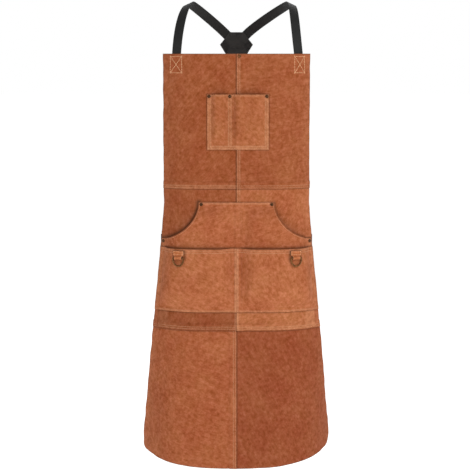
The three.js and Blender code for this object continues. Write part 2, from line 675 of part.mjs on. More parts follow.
function makeHipTab(side, sign) {
  const plan = (v) => new THREE.Vector2(v.x, v.y);
  const layer = (s, depth) => plan(onApron(s, HIP_Z, -WEB_SEAT - HALF_WEB - depth));
  const nextLayer = WEB_THICK + GAP;
  const outgoing = [];
  for (let k = 0; k <= 3; k++) outgoing.push(layer(hipHalf - TAB_SEWN + (TAB_SEWN * k) / 3, 0));
  const start = outgoing.at(-1);
  const ahead = new THREE.Vector2(Math.cos(turnAt(hipHalf)), Math.sin(turnAt(hipHalf)));
  const bend = new THREE.CubicBezierCurve(start, start.clone().addScaledVector(ahead, 7),
    new THREE.Vector2(BAR.x + LOOP, BAR.y - 9), new THREE.Vector2(BAR.x + LOOP, BAR.y)).getPoints(6);
  const turn = [];
  for (let k = 1; k <= 6; k++) {
    const a = (Math.PI * k) / 6;
    turn.push(new THREE.Vector2(BAR.x + LOOP * Math.cos(a), BAR.y + LOOP * Math.sin(a)));
  }
  // the way back: drawn in toward the outgoing layer, then beside it to its sewn end
  const beside = bend.slice(1, 4).reverse().map((p, i) => {
    const t = (3 - i) / 6;
    const away = new THREE.Vector2(-Math.sin(turnAt(hipHalf)), Math.cos(turnAt(hipHalf)));
    const face = away.lerp(new THREE.Vector2(-1, 0), t).normalize();
    return p.clone().addScaledVector(face, nextLayer + 0.1);
  });
  const clearOfBar = new THREE.Vector2(BAR.x - LOOP + 0.3, BAR.y - LOOP);
  const back = [];
  for (let k = 3; k >= 0; k--) back.push(layer(hipHalf - TAB_SEWN + (TAB_SEWN * k) / 3, nextLayer));
  const centre = [...outgoing, ...bend.slice(1), ...turn, clearOfBar, ...beside, ...back];
  const outline = thickened(centre.map((p) => new THREE.Vector2(sign * p.x, p.y)), HALF_WEB);
  const solid = new THREE.ExtrudeGeometry(outline, { depth: WEB_WIDTH, bevelEnabled: false });
  place(`hip_tab_${side}`, solid, WEBBING).position.z = HIP_Z - WEB_WIDTH / 2;
}

function toManifold(geometry) {
  const bare = geometry.index ? geometry.toNonIndexed() : geometry.clone();
  bare.deleteAttribute('normal');
  bare.deleteAttribute('uv');
  const merged = mergeVertices(bare, 1e-4);
  return new wasm.Manifold(new wasm.Mesh({
    numProp: 3,
    vertProperties: merged.attributes.position.array,
    triVerts: Uint32Array.from(merged.index.array),
  }));
}

function fromManifold(solid) {
  const mesh = solid.getMesh();
  const geometry = new THREE.BufferGeometry();
  geometry.setAttribute('position', new THREE.BufferAttribute(mesh.vertProperties.slice(), 3));
  geometry.setIndex([...mesh.triVerts]);
  return geometry;
}

// A block with rounded corners seen along X: y and z ranges, thick across X.
function block(y0, y1, halfZ, thick, corner) {
  const shape = new THREE.Shape();
  const c = Math.max(corner, 0.01);
  shape.absarc(y1 - c, halfZ - c, c, 0, Math.PI / 2, false);
  shape.absarc(y0 + c, halfZ - c, c, Math.PI / 2, Math.PI, false);
  shape.absarc(y0 + c, -halfZ + c, c, Math.PI, 1.5 * Math.PI, false);
  shape.absarc(y1 - c, -halfZ + c, c, 1.5 * Math.PI, 2 * Math.PI, false);
  const solid = new THREE.ExtrudeGeometry(shape, { depth: thick, bevelEnabled: false, curveSegments: 3 });
  solid.translate(0, 0, -thick / 2);
  const turn = new THREE.Matrix4().makeBasis(new THREE.Vector3(0, 1, 0), new THREE.Vector3(0, 0, 1),
    new THREE.Vector3(1, 0, 0));
  return toManifold(solid.applyMatrix4(turn));
}

const WINDOW = { front: 14, back: 22 };

function socketGeometry() {
  const half = BUCKLE_WIDTH / 2;
  const inner = SOCKET_THICK - 2 * SOCKET_WALL;
  const slotHalf = WEB_WIDTH / 2 + 0.7;
  let solid = block(7, SOCKET_LENGTH, half, SOCKET_THICK, 2.5);
  solid = solid.add(block(-BAR_HALF, 9, half, 2 * BAR_HALF, 1.5));
  solid = solid.subtract(block(BAR_HALF, 6.6, slotHalf, SOCKET_THICK, 0));
  solid = solid.subtract(block(10, SOCKET_LENGTH + 5, BUCKLE_CAVITY / 2, inner, 0));
  solid = solid.subtract(block(WINDOW.front, WINDOW.back, half + 1, inner, 0));
  return fromManifold(solid);
}

function plugGeometry() {
  const half = BUCKLE_WIDTH / 2 - 0.5;
  const slotHalf = WEB_WIDTH / 2 + 0.7;
  const shoulder = SOCKET_LENGTH + GAP + 0.1;
  let solid = block(shoulder, SOCKET_LENGTH + PLUG_LENGTH, half, PLUG_THICK, 2.5);
  solid = solid.subtract(block(SLOT.front, SLOT.middle, slotHalf, SOCKET_THICK, 0));
  solid = solid.subtract(block(SLOT.rear, SLOT.back, slotHalf, SOCKET_THICK, 0));
  solid = solid.add(block(WINDOW.front, shoulder + 2, 3, 4, 1));
  return fromManifold(solid);
}

function prongGeometry(up) {
  const root = SOCKET_LENGTH + GAP - 0.2;
  const wall = BUCKLE_CAVITY / 2 - 0.5;
  const outline = [[root, wall - 4], [root, wall], [WINDOW.back - 0.4, wall], [WINDOW.back - 0.4, wall + 2.8],
    [WINDOW.front + 1, wall], [WINDOW.front - 2.5, wall - 2], [WINDOW.front - 2.5, wall - 4], [WINDOW.back, wall - 4]];
  const shape = new THREE.Shape(outline.map(([y, z]) => new THREE.Vector2(y, up * z)));
  const solid = new THREE.ExtrudeGeometry(shape, { depth: 4, bevelEnabled: false });
  solid.translate(0, 0, -2);
  const turn = new THREE.Matrix4().makeBasis(new THREE.Vector3(0, 1, 0), new THREE.Vector3(0, 0, 1),
    new THREE.Vector3(1, 0, 0));
  return solid.applyMatrix4(turn);
}

function makeBuckle(side, sign) {
  const seat = new THREE.Group();
  seat.position.set(sign * BAR.x, BAR.y, HIP_Z);
  apron.add(seat);
  seat.add(place(`buckle_socket_${side}`, socketGeometry(), PLASTIC));
  seat.add(place(`buckle_plug_${side}`, plugGeometry(), PLASTIC));
  seat.add(place(`upper_prong_${side}`, prongGeometry(1), PLASTIC));
  seat.add(place(`lower_prong_${side}`, prongGeometry(-1), PLASTIC));
}

makePanels();
makeChestPocket();
makeLowerPockets();
makeRivets();
makeRings();
makePatch();
for (const [side, sign] of [['left', -1], ['right', 1]]) {
  makeShoulderStrap(side, sign);
  makeLowerStrap(side, sign);
  makeHipTab(side, sign);
  makeBuckle(side, sign);
}

export default apron;
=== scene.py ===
# %% [markdown]
# # A suede welding apron
# This lesson dresses a measured model of a welder's apron: split suede panels sewn in three tiers,
# pockets with turned edges, two D-rings on leather tabs, and black webbing that crosses at the back.
# The measured model keeps every size. Here each soft solid gets a leather or webbing piece of its own,
# built as a thin closed sheet with its seams, stitches and worn edges.

# %% Load the measured frame
import math

import bmesh
import bpy
import numpy as np
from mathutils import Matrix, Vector


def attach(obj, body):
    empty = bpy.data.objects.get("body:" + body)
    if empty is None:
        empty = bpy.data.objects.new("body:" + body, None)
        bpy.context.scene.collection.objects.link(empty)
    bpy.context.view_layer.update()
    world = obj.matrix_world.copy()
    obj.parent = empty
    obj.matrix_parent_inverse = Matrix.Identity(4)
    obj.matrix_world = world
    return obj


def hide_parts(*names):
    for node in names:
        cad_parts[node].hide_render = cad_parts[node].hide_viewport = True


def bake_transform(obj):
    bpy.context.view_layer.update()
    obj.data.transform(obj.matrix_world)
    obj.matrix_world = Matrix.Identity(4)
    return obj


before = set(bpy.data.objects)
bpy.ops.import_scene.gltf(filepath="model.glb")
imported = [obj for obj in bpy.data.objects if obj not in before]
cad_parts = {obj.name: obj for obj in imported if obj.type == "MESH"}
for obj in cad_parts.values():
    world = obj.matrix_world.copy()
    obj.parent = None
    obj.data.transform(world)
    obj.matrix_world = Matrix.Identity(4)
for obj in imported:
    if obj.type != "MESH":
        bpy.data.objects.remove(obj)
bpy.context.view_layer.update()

# %% [markdown]
# ## The apron's own measurements
# A pattern cutter thinks of an apron as flat leather with distances down from the top edge. The same
# numbers shape the measured model, so a piece made from them lands where the solid is. Everything is in
# metres; s runs across the flat leather from the middle, z is height.

# %% Sizes of the cut leather
TOP, LENGTH = 0.060, 1.067
BIB_HALF, HEM_HALF = 0.192, 0.294
FLARE_START, FLARE_END, FLARE_MORE = 0.380, 1.000, 0.043
FLARE_EVEN = HEM_HALF - BIB_HALF - FLARE_MORE
LEFT_RISE, LEFT_CORNER = 0.029, 0.018
RIGHT_RISE, RIGHT_CORNER = 0.042, 0.030
FLAT_HALF, WRAP_RADIUS = 0.080, 0.180
LEATHER, GAP, LAP, RAMP = 0.0016, 0.0003, 0.014, 0.006
LAYER = LEATHER + GAP
RAMP_FROM, RAMP_TO = LAP + 0.001, LAP + 0.001 + RAMP
WAIST_SEAM, POCKET_MOUTH, POCKET_BOTTOM, SKIRT_SEAM = 0.339, 0.490, 0.655, 0.703
CHEST_TOP, CHEST_BOTTOM = 0.101, 0.240
CHEST_LEFT, CHEST_RIGHT, CHEST_DIVIDER = -0.074, 0.081, -0.017
CHEST_DEPTH, KANGAROO_DEPTH, POCKET_DEPTH = 0.010, 0.015, 0.009
SEAM_MARGIN, SIDE_MARGIN = 0.010, 0.016
KANGAROO_TOP, KANGAROO_HALF, HAND_CORNER = 0.373, 0.096, 0.468
POCKET_INSET, BAND_INSET = 0.003, 0.016
RIVET_IN = 0.005
RING_AT = {"left": BIB_HALF - 0.054, "right": BIB_HALF - 0.051}
TAB_TOP = TOP - POCKET_MOUTH - 0.004
SIDES = (("left", -1), ("right", 1))


def height(drop):
    return TOP - drop


def ease(x, a, b):
    """0 before a, 1 after b, and smooth between them."""
    t = np.clip((x - a) / (b - a), 0.0, 1.0)
    return t * t * (3 - 2 * t)


def half_width(z):
    t = np.clip((TOP - z - FLARE_START) / (FLARE_END - FLARE_START), 0, 1)
    return BIB_HALF + FLARE_EVEN * t + FLARE_MORE * t * t


HAND_HALF = float(half_width(height(HAND_CORNER)))
print("half width at the hips", round(HAND_HALF, 4), "and at the hem", round(float(half_width(-1.0)), 4))

# %% [markdown]
# ## From flat leather to the hanging apron
# Worn, the middle of the apron hangs flat and its sides curve round the body. One function bends flat
# places (s, z) onto that shape, lifted off the innermost layer, and every panel, pocket, rivet and
# stitch goes through it. That is why they all stay together. A slow sway and small dents keep the
# leather from looking like sheet metal. The dents fade out round the D-rings, whose bars have to stay on
# the axes that they swing about.

# %% The surface that everything lies on
def crumple(s, z):
    """Soft dents a few centimetres across, which leather keeps from being worn and folded."""
    waves = ((150, 60, 0.4), (-95, 130, 1.9), (60, -170, 3.1), (190, -40, 4.0), (40, 95, 5.2),
             (-130, -85, 0.9))
    bent = lambda a, b, c: np.sin(a * s + b * z + c + 1.3 * np.sin(21 * s - 17 * z + c))
    return sum(bent(*wave) for wave in waves) / len(waves)


def ridge(s, z, s0, z0, s1, z1, wide=0.0035):
    """A soft fold along a line from one place to another."""
    length = math.hypot(s1 - s0, z1 - z0)
    t = np.clip(((s - s0) * (s1 - s0) + (z - z0) * (z1 - z0)) / length**2, 0, 1)
    away = np.hypot(s - s0 - t * (s1 - s0), z - z0 - t * (z1 - z0))
    return np.exp(-((away / wide) ** 2)) * np.sin(np.pi * np.clip(t, 0.03, 0.97))


def sway(s, z):
    """How far the leather leaves its plain curve: long folds, dents, and a fold at each pocket corner."""
    skirt = ease(-z, 0.66, 0.86) * ease(np.abs(s), 0.02, 0.12)
    bib = ease(-z, 0.03, 0.09) * (1 - ease(-z, 0.20, 0.27)) * ease(np.abs(s), 0.09, 0.14)
    long_fold = 0.0021 * np.sin(23 * s + 0.7 + 2.2 * z) + 0.0013 * np.sin(49 * s - 3.0 * z + 1.1)
    left_fold = 0.0011 * ridge(s, z, -0.228, -0.574, -0.172, -0.600)
    right_fold = 0.0013 * ridge(s, z, 0.226, -0.586, 0.160, -0.618)
    by_ring = np.hypot(np.abs(s) - RING_AT["left"] - 0.0015, z - TAB_TOP + 0.018)
    dents = 0.0013 * crumple(s, z) * ease(by_ring, 0.032, 0.060)
    return skirt * long_fold + 0.0011 * bib * np.sin(24 * z + 9 * s + 0.4) + dents + (left_fold + right_fold)


def on_apron(s, z, lift):
    lift = lift + sway(s, z)
    u = np.maximum(0.0, np.abs(s) - FLAT_HALF) / WRAP_RADIUS
    x = np.sign(s) * (np.minimum(np.abs(s), FLAT_HALF) + (WRAP_RADIUS + lift) * np.sin(u))
    y = WRAP_RADIUS - (WRAP_RADIUS + lift) * np.cos(u)
    return np.stack(np.broadcast_arrays(x, y, z), -1)


def outward(s):
    u = max(0.0, abs(s) - FLAT_HALF) / WRAP_RADIUS
    return Vector((math.copysign(math.sin(u), s), -math.cos(u), 0))


def over_left(s):
    return 1 - ease(s, RAMP_FROM, RAMP_TO)


def over_right(s):
    return ease(s, -RAMP_TO, -RAMP_FROM)


def over_waist(z):
    return 1 - ease(z, height(WAIST_SEAM) + RAMP_FROM, height(WAIST_SEAM) + RAMP_TO)


def over_skirt(z):
    return 1 - ease(z, height(SKIRT_SEAM) + RAMP_FROM, height(SKIRT_SEAM) + RAMP_TO)


def on_panels(s, z):
    return LAYER * (1 + ease(s, -RAMP - 0.001, -0.001) * over_left(s))


LIFTS = {
    "skirt_right": lambda s, z: 0 * s,
    "skirt_left": lambda s, z: LAYER * over_right(s),
    "waist_left": lambda s, z: LAYER * over_skirt(z) * (1 + over_right(s)),
    "waist_right": lambda s, z: LAYER * (over_left(s) + over_skirt(z) * (1 + over_left(s))),
    "bib_left": lambda s, z: LAYER * over_waist(z) * (1 + over_right(s)),
    "bib_right": lambda s, z: LAYER * (over_waist(z) + over_left(s) * (1 + over_waist(z))),
}

# %% [markdown]
# ## How far the pockets stand open
# A pocket lies flat along its sewn edges and swells between them. Each swell is a quarter sine that
# starts at the seam, and multiplying them gives a soft pillow that is full in the middle.

# %% Pocket fullness
def swell(distance, reach):
    return np.sin(np.pi / 2 * np.clip(distance / reach, 0, 1))


def chest_lift(s, z):
    narrow = s < CHEST_DIVIDER
    edge = np.where(narrow, s - CHEST_LEFT, CHEST_RIGHT - s) - SEAM_MARGIN
    reach = np.where(narrow, 0.015, 0.024)
    from_divider = np.abs(s - CHEST_DIVIDER) - SEAM_MARGIN / 2
    up = swell(z - height(CHEST_BOTTOM) - SEAM_MARGIN, 0.040)
    return on_panels(s, z) + CHEST_DEPTH * swell(from_divider, reach) * swell(edge, reach) * up


def kangaroo_lift(s, z):
    inner = swell(np.abs(s) - SEAM_MARGIN, 0.045)
    outer = swell(half_width(np.minimum(z, height(HAND_CORNER))) - np.abs(s) - SIDE_MARGIN, 0.042)
    below = swell(height(KANGAROO_TOP) - z - SEAM_MARGIN, 0.045)
    above = swell(z - height(POCKET_BOTTOM) - SEAM_MARGIN, 0.060)
    return on_panels(s, z) + KANGAROO_DEPTH * inner * outer * below * above


def lower_lift(s, z):
    inner = swell(np.abs(s) - SEAM_MARGIN, 0.035)
    outer = swell(half_width(z) - np.abs(s) - SIDE_MARGIN, 0.042)
    up = swell(z - height(POCKET_BOTTOM) - SEAM_MARGIN, 0.060)
    return kangaroo_lift(s, z) + LAYER + POCKET_DEPTH * inner * outer * up


LIFTS["chest_pocket"] = chest_lift
LIFTS["kangaroo_pocket"] = kangaroo_lift
for side, _ in SIDES:
    LIFTS[f"lower_pocket_{side}"] = lower_lift
LIFTS["pocket_band_left"] = lambda s, z: LIFTS["waist_left"](s, z) + LAYER
LIFTS["pocket_band_right"] = lambda s, z: LIFTS["waist_right"](s, z) + LAYER
fullness = float(kangaroo_lift(0.09, height(0.5))) * 1000
print("the kangaroo pocket stands", round(fullness, 1), "mm off the body")

# %% [markdown]
# ## Edges, turned hems and the rows that hold them
# On real suede a sewn edge is a little thicker, pinched along its stitches, and rubbed lighter where
# hands and tools catch it. Each piece lists its edges: the distance in from one, its rows of stitches,
# how wide the strip is, how much it stands up, and how rubbed it is. The same list shapes the mesh,
# colours it, and later tells the stitches how high to lie.

# %% Edges of each piece
PINCH, PINCH_WIDE, ROUNDING = 0.00032, 0.0011, 0.00055
BAND_REACH = float(half_width(height(POCKET_BOTTOM))) - BAND_INSET
BAND_FOOT = height(SKIRT_SEAM) + 0.002
POCKET_GAP = 0.0001
FAR = 1.0
LAPPED_ROWS, TURNED_ROWS, POCKET_ROWS = (0.0028, 0.0080), (0.0030, 0.0080), (0.0040, 0.0095)
MOUTH_ROW, DIVIDER_ROW, BOTTOM_ROW = 0.0034, 0.0033, 0.0035
hand_angle = np.linspace(0, math.acos(POCKET_INSET / (HAND_HALF - KANGAROO_HALF)), 120)
HAND_CURVE = np.stack([HAND_HALF - (HAND_HALF - KANGAROO_HALF) * np.cos(hand_angle),
                       height(KANGAROO_TOP) - (HAND_CORNER - KANGAROO_TOP) * np.sin(hand_angle)], -1)


def from_hand_opening(s, z):
    places = np.stack([np.abs(s), z], -1)
    gaps = np.linalg.norm(places[..., None, :] - HAND_CURVE, axis=-1)
    return gaps.min(-1)


def edges_of(name, s, z):
    """Rows of (distance in, rows of stitches, strip width, how much it stands up, how rubbed)."""
    side = half_width(z) - np.abs(s)
    raw = lambda d: (d, (), 0.0012, 0.0, 0.55)
    lapped = lambda d, amount: (d, LAPPED_ROWS, 0.0095, 0.0, amount)
    if name == "bib_left":
        return [raw(side), raw(TOP - z), lapped(z - height(WAIST_SEAM), 0.85)]
    if name == "bib_right":
        return [raw(side), raw(TOP - z), lapped(z - height(WAIST_SEAM), 0.3), lapped(s, 0.55)]
    if name.startswith("waist"):
        foot = np.where(np.abs(s) > BAND_REACH, z - height(SKIRT_SEAM), FAR)
        rows = [raw(side), lapped(foot, 0.4)]
        return rows + ([lapped(s, 0.5)] if name == "waist_right" else [])
    if name.startswith("skirt"):
        rows = [raw(side), raw(z - hem_height(s))]
        return rows + ([lapped(-s, 0.3)] if name == "skirt_left" else [])
    turned = lambda d, amount: (d, TURNED_ROWS, 0.0095, 0.0006, amount)
    mouth = lambda d, amount: (d, (MOUTH_ROW,), 0.0045, 0.0004, amount)
    if name == "chest_pocket":
        divider = (np.abs(s - CHEST_DIVIDER), (DIVIDER_ROW,), 0.0042, 0.0, 0.6)
        return [turned(s - CHEST_LEFT, 0.6), turned(CHEST_RIGHT - s, 0.7),
                turned(z - height(CHEST_BOTTOM), 0.9), mouth(height(CHEST_TOP) - z, 0.45), divider]
    if name == "kangaroo_pocket":
        top = np.where(np.abs(s) < KANGAROO_HALF, height(KANGAROO_TOP) - z, FAR)
        seen = np.where(z > height(POCKET_MOUTH) + 0.002, side - POCKET_INSET, FAR)
        return [mouth(top, 0.75), mouth(from_hand_opening(s, z), 0.0), turned(seen, 0.35)]
    if name.startswith("lower_pocket"):
        return [(height(POCKET_MOUTH) - z, POCKET_ROWS, 0.011, 0.0, 0.35),
                turned(side - POCKET_INSET, 0.3), (np.abs(s) + 0.0011, (0.0047,), 0.0054, 0.0005, 1.15),
                (z - height(POCKET_BOTTOM), (BOTTOM_ROW,), 0.0050, 0.0005, 0.55)]
    return [(z - BAND_FOOT, TURNED_ROWS, 0.0095, 0.0002, 0.4), (BAND_REACH - np.abs(s), (), 0.001, 0.0, 0.0),
            (np.abs(s) + 0.0011, (0.0047,), 0.0054, 0.0003, 1.0),
            (BAND_REACH - np.abs(s), (), 0.030, 0.0, 0.5)]


def outside(s, z, s0, s1, z0, z1):
    """Distance outside a rectangle; negative inside it."""
    return np.maximum(np.maximum(s0 - s, s - s1), np.maximum(z0 - z, z - z1))


def shade_and_soil_of(name, s, z):
    """Painted shade and dirt, 0 to 1: painted shadow beside edges that lie on a piece, and darker cut leather
    along its own raw edges.
    """
    beside = lambda d, wide, amount: np.where(d > -0.003, amount * (1 - ease(d, 0.0, wide)), 0.0)
    worn = lambda d, amount: amount * (1 - ease(d, 0.0006, 0.0024))
    side, seam = half_width(z) - np.abs(s), height(WAIST_SEAM)
    left = "left" in name
    if name.startswith("bib"):
        # Painted shadow round the chest pocket and, on the left panel, beside the right panel's edge.
        chest = outside(s, z, CHEST_LEFT, CHEST_RIGHT, height(CHEST_BOTTOM), height(CHEST_TOP))
        marks = [worn(side, 0.6), worn(TOP - z, 0.6), beside(chest, 0.004, 0.38)]
        return np.maximum.reduce(marks + ([beside(-s, 0.0035, 0.8)] if left else []))
    if name.startswith("waist"):
        top = np.where(np.abs(s) < KANGAROO_HALF, z - height(KANGAROO_TOP), FAR)
        # Painted shadow under the bib's edge, above the kangaroo pocket, beside the centre seam and round the hand
        # openings, wider and darker on the left.
        wide, amount = (0.011, 0.95) if left else (0.0045, 0.6)
        marks = [worn(side, 0.6), beside(seam - z, 0.0035, 0.6), beside(top, 0.0035, 0.4),
                 beside(from_hand_opening(s, z), wide, amount)]
        return np.maximum.reduce(marks + ([beside(-s, 0.0035, 0.8)] if left else []))
    if name.startswith("skirt"):
        # Painted shadow under the skirt seam and beside the left panel's edge; darker raw edges at the sides and
        # hem.
        marks = [worn(side, 0.6), worn(z - hem_height(s), 0.7), beside(height(SKIRT_SEAM) - z, 0.004, 0.65)]
        return np.maximum.reduce(marks + ([] if left else [beside(s, 0.0035, 0.8)]))
    if name == "kangaroo_pocket":
        # Painted shadow above the lower pockets' mouths, and a painted dark line along each hand opening.
        mouth = beside(z - height(POCKET_MOUTH), 0.0065, 0.62)
        return np.maximum.reduce([worn(side - POCKET_INSET, 0.6), mouth, worn(from_hand_opening(s, z), 0.5)])
    if name.startswith("lower_pocket"):
        # Painted shadow round the ring tab; darker side edges.
        at = RING_AT["left" if left else "right"]
        tab = outside(np.abs(s), z, at - 0.014, at + 0.014, TAB_TOP - 0.021, TAB_TOP)
        return np.maximum(worn(side - POCKET_INSET, 0.6), beside(tab, 0.0028, 0.55))
    if name.startswith("pocket_band"):
        # Painted shadow under the lower pockets' bottom edge.
        return beside(height(POCKET_BOTTOM) - z, 0.0045, 0.55)
    return 0 * s


def relief(name, s, z):
    """How much a piece's front stands up or is pressed in, and how rubbed it is at each place, with a painted
    highlight towards the side edges.
    """
    raised = pressed = rub = 0 * s
    nearest = 0 * s + FAR
    for distance, rows, wide, stands, amount in edges_of(name, s, z):
        near = 1 - ease(distance, wide, wide + 0.0022)
        raised = np.maximum(raised, stands * near)
        rub = np.maximum(rub, amount * near)
        for row in rows:
            pressed = np.maximum(pressed, PINCH * np.exp(-(((distance - row) / PINCH_WIDE) ** 2)))
        nearest = np.minimum(nearest, distance)
    rounded = ROUNDING * np.clip(1 - nearest / 0.0010, 0, 1) ** 2
    # Lighter towards the side edges: a painted highlight where the curved sides catch more light.
    if name.startswith(("bib", "waist", "skirt", "kangaroo", "lower")):
        rub = np.maximum(rub, 0.32 * (1 - ease(half_width(z) - np.abs(s), 0.005, 0.032)))
    return raised - pressed - rounded, rub


def hem_height(s):
    corner, rise = np.where(s < 0, LEFT_CORNER, RIGHT_CORNER), np.where(s < 0, LEFT_RISE, RIGHT_RISE)
    past = np.clip(np.abs(s) - (HEM_HALF - corner), 0, corner)
    rounding = corner - np.sqrt(corner**2 - past**2)
    return height(LENGTH) + rise * (np.abs(s) / HEM_HALF) ** 2 + rounding


def front_of(name, s, z, proud=0.0):
    """Points on a piece's front face, raised by proud."""
    s, z = np.broadcast_arrays(np.asarray(s, float), np.asarray(z, float))
    return on_apron(s, z, LIFTS[name](s, z) + LEATHER + relief(name, s, z)[0] + proud)


print("hand opening runs", round(float(np.linalg.norm(np.diff(HAND_CURVE, axis=0), axis=1).sum()), 3), "m")

# %% [markdown]
# ## Laying out the grid
# A panel is a grid of columns and rows in flat leather. Lines crowd together near edges and seam steps,
# where the shape changes fast, and are about 5 mm apart elsewhere. That is enough for soft leather.

# %% Grid lines
STEP = 0.005
BESIDE = np.array([0.0, 0.0010, 0.0022, 0.0040])
NEAR_EDGE = np.array([0.0004, 0.0009, 0.0018, 0.0030, 0.0042, 0.0056, 0.0068, 0.0080, 0.0092, 0.0106, 0.0125])


def grid_lines(start, stop, marks=(), step=STEP):
    """Places from start to stop through every mark, never closer than a quarter of a millimetre."""
    kept = [start]
    for m in sorted(m for m in marks if start < m < stop):
        if m - kept[-1] > 0.00025 and stop - m > 0.00025:
            kept.append(m)
    kept.append(stop)
    places = []
    for a, b in zip(kept, kept[1:]):
        n = max(1, math.ceil((b - a) / step - 1e-6))
        places += [a + (b - a) * k / n for k in range(n)]
    return np.array(places + [stop])


def crossing(a, b, count=5):
    return list(np.linspace(a, b, count))


def fan(q, full, wide, margin=0.020):
    """Stretches columns laid out over the width full to the width wide, keeping both margins."""
    inner = np.minimum(q, margin)
    outer = np.maximum(q - (full - margin), 0)
    middle = np.clip(q - margin, 0, full - 2 * margin)
    return inner + outer + middle * (wide - 2 * margin) / (full - 2 * margin)


def facing_out(sign, s, z):
    """Turns a left piece's columns round, so that its faces point outwards as a right piece's do."""
    return (s[::-1], z[::-1]) if sign < 0 else (s, z)


LAP_STEPS = crossing(RAMP_FROM, RAMP_TO) + crossing(-RAMP_TO, -RAMP_FROM)
print("a 0.2 m panel has", len(grid_lines(0, 0.2, NEAR_EDGE)), "columns")

# %% [markdown]
# ## One closed sheet of leather
# The front face follows the seams and folds, the back face stays plain, and a rim row halfway through
# the thickness is pushed out a little so the cut edge is round. Three finishes go on it: the napped
# front, the fleshy back and the raw edge. Faces are listed so that each one points outwards.

# %% A function that makes a piece of leather
def mesh_object(name, vertices, faces, finishes, face_finish=None, smooth=True):
    mesh = bpy.data.meshes.new(name)
    mesh.from_pydata(np.asarray(vertices).tolist(), [], [list(map(int, f)) for f in faces])
    for finish in finishes:
        mesh.materials.append(finish)
    if face_finish is not None:
        mesh.polygons.foreach_set("material_index", np.asarray(face_finish, np.int32))
    mesh.polygons.foreach_set("use_smooth", [smooth] * len(mesh.polygons))
    mesh.update()
    obj = bpy.data.objects.new(name, mesh)
    bpy.context.scene.collection.objects.link(obj)
    return obj


def point_values(obj, name, values):
    layer = obj.data.attributes.new(name, "FLOAT", "POINT")
    layer.data.foreach_set("value", np.asarray(values, np.float32))


def closed_sheet(name, front, back, finishes, rub, soil=None, bulge=0.00028):
    n, m = front.shape[:2]
    number = np.arange(n * m).reshape(n, m)
    border = np.concatenate([number[:-1, 0], number[-1, :-1], number[:0:-1, -1], number[0, :0:-1]])
    flat_front, flat_back = front.reshape(-1, 3), back.reshape(-1, 3)
    i, j = np.divmod(border, m)
    neighbour = number[np.clip(i, 1, n - 2), np.clip(j, 1, m - 2)]
    away = flat_front[border] - flat_front[neighbour]
    away /= np.maximum(np.linalg.norm(away, axis=1, keepdims=True), 1e-9)
    middle = (flat_front[border] + flat_back[border]) / 2 + away * bulge
    vertices = np.concatenate([flat_front, flat_back, middle])
    quads = np.stack([number[:-1, :-1], number[1:, :-1], number[1:, 1:], number[:-1, 1:]], -1).reshape(-1, 4)
    rim, here = np.arange(len(border)) + 2 * n * m, np.arange(len(border))
    ahead = np.roll(here, -1)
    outer = np.stack([rim[here], rim[ahead], border[ahead], border[here]], -1)
    inner = np.stack([border[here] + n * m, border[ahead] + n * m, rim[ahead], rim[here]], -1)
    faces = np.concatenate([quads, quads[:, ::-1] + n * m, outer, inner])
    kinds = np.repeat([0, 1, 2], [len(quads), len(quads), 2 * len(border)])
    obj = mesh_object(name, vertices, faces, finishes, kinds)
    edge_rub = np.full(len(border), 0.6)
    soil = 0 * rub if soil is None else soil
    # Two masks go on the front: paler rubbing, which also holds a painted highlight towards the side edges, and
    # painted shade with dirt.
    point_values(obj, "rub", np.concatenate([rub.ravel(), 0 * rub.ravel(), edge_rub]))
    point_values(obj, "soil", np.concatenate([soil.ravel(), 0 * soil.ravel(), 0 * edge_rub]))
    return obj


def dress(obj, nodes, body="apron"):
    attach(obj, body)
    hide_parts(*nodes)
    return obj


def leather(node, s, z):
    lift = LIFTS[node](s, z)
    stands, rub = relief(node, s, z)
    front, back = on_apron(s, z, lift + LEATHER + stands), on_apron(s, z, lift)
    obj = closed_sheet("leather_" + node, front, back, finishes[node], rub, shade_and_soil_of(node, s, z))
    dress(obj, [node])


# %% [markdown]
# ## Suede
# Split suede has no shiny grain: cut fibres scatter the light, dye takes unevenly in clouds a few
# centimetres across, and the nap shows as fine specks. One node group makes all of that from three
# sizes of noise, so each panel can have its own shade, as hides do. A rubbed mask lightens seams and
# paints a highlight towards the side edges. A second mask paints shade beside edges that lie on a
# piece and darkens raw edges.

# %% The suede node group
def add(nodes, kind, **settings):
    node = nodes.new(kind)
    for key, value in settings.items():
        setattr(node, key, value)
    return node


def new_tree(name, kind, inputs, outputs):
    """A node tree with its sockets; an input may come with a default."""
    tree = bpy.data.node_groups.new(name, kind)
    for label, socket_type, *default in inputs:
        socket = tree.interface.new_socket(label, in_out="INPUT", socket_type=socket_type)
        if default:
            socket.default_value = default[0]
    for label, socket_type in outputs:
        tree.interface.new_socket(label, in_out="OUTPUT", socket_type=socket_type)
    return tree, tree.nodes.new("NodeGroupInput"), tree.nodes.new("NodeGroupOutput")


def new_finish(name, colour, other_label, other, *more):
    """A finish's group: it takes a place and two colours, and gives colour, roughness and height."""
    inputs = [("Place", "NodeSocketVector"), ("Colour", "NodeSocketColor", (*colour, 1)),
              (other_label, "NodeSocketColor", (*other, 1)), *more]
    outputs = [("Colour", "NodeSocketColor"), ("Roughness", "NodeSocketFloat"), ("Height", "NodeSocketFloat")]
    return new_tree(name, "ShaderNodeTree", inputs, outputs)


def finished(group, give, colour, roughness, tall):
    """Leads the three results out of a finish's group."""
    for label, result in (("Colour", colour), ("Roughness", roughness), ("Height", tall)):
        group.links.new(result, give.inputs[label])
    return group


def noise(group, vector, scale, detail, rough):
    node = add(group.nodes, "ShaderNodeTexNoise")
    node.inputs["Scale"].default_value = scale
    node.inputs["Detail"].default_value = detail
    node.inputs["Roughness"].default_value = rough
    group.links.new(vector, node.inputs["Vector"])
    return node.outputs["Fac"]


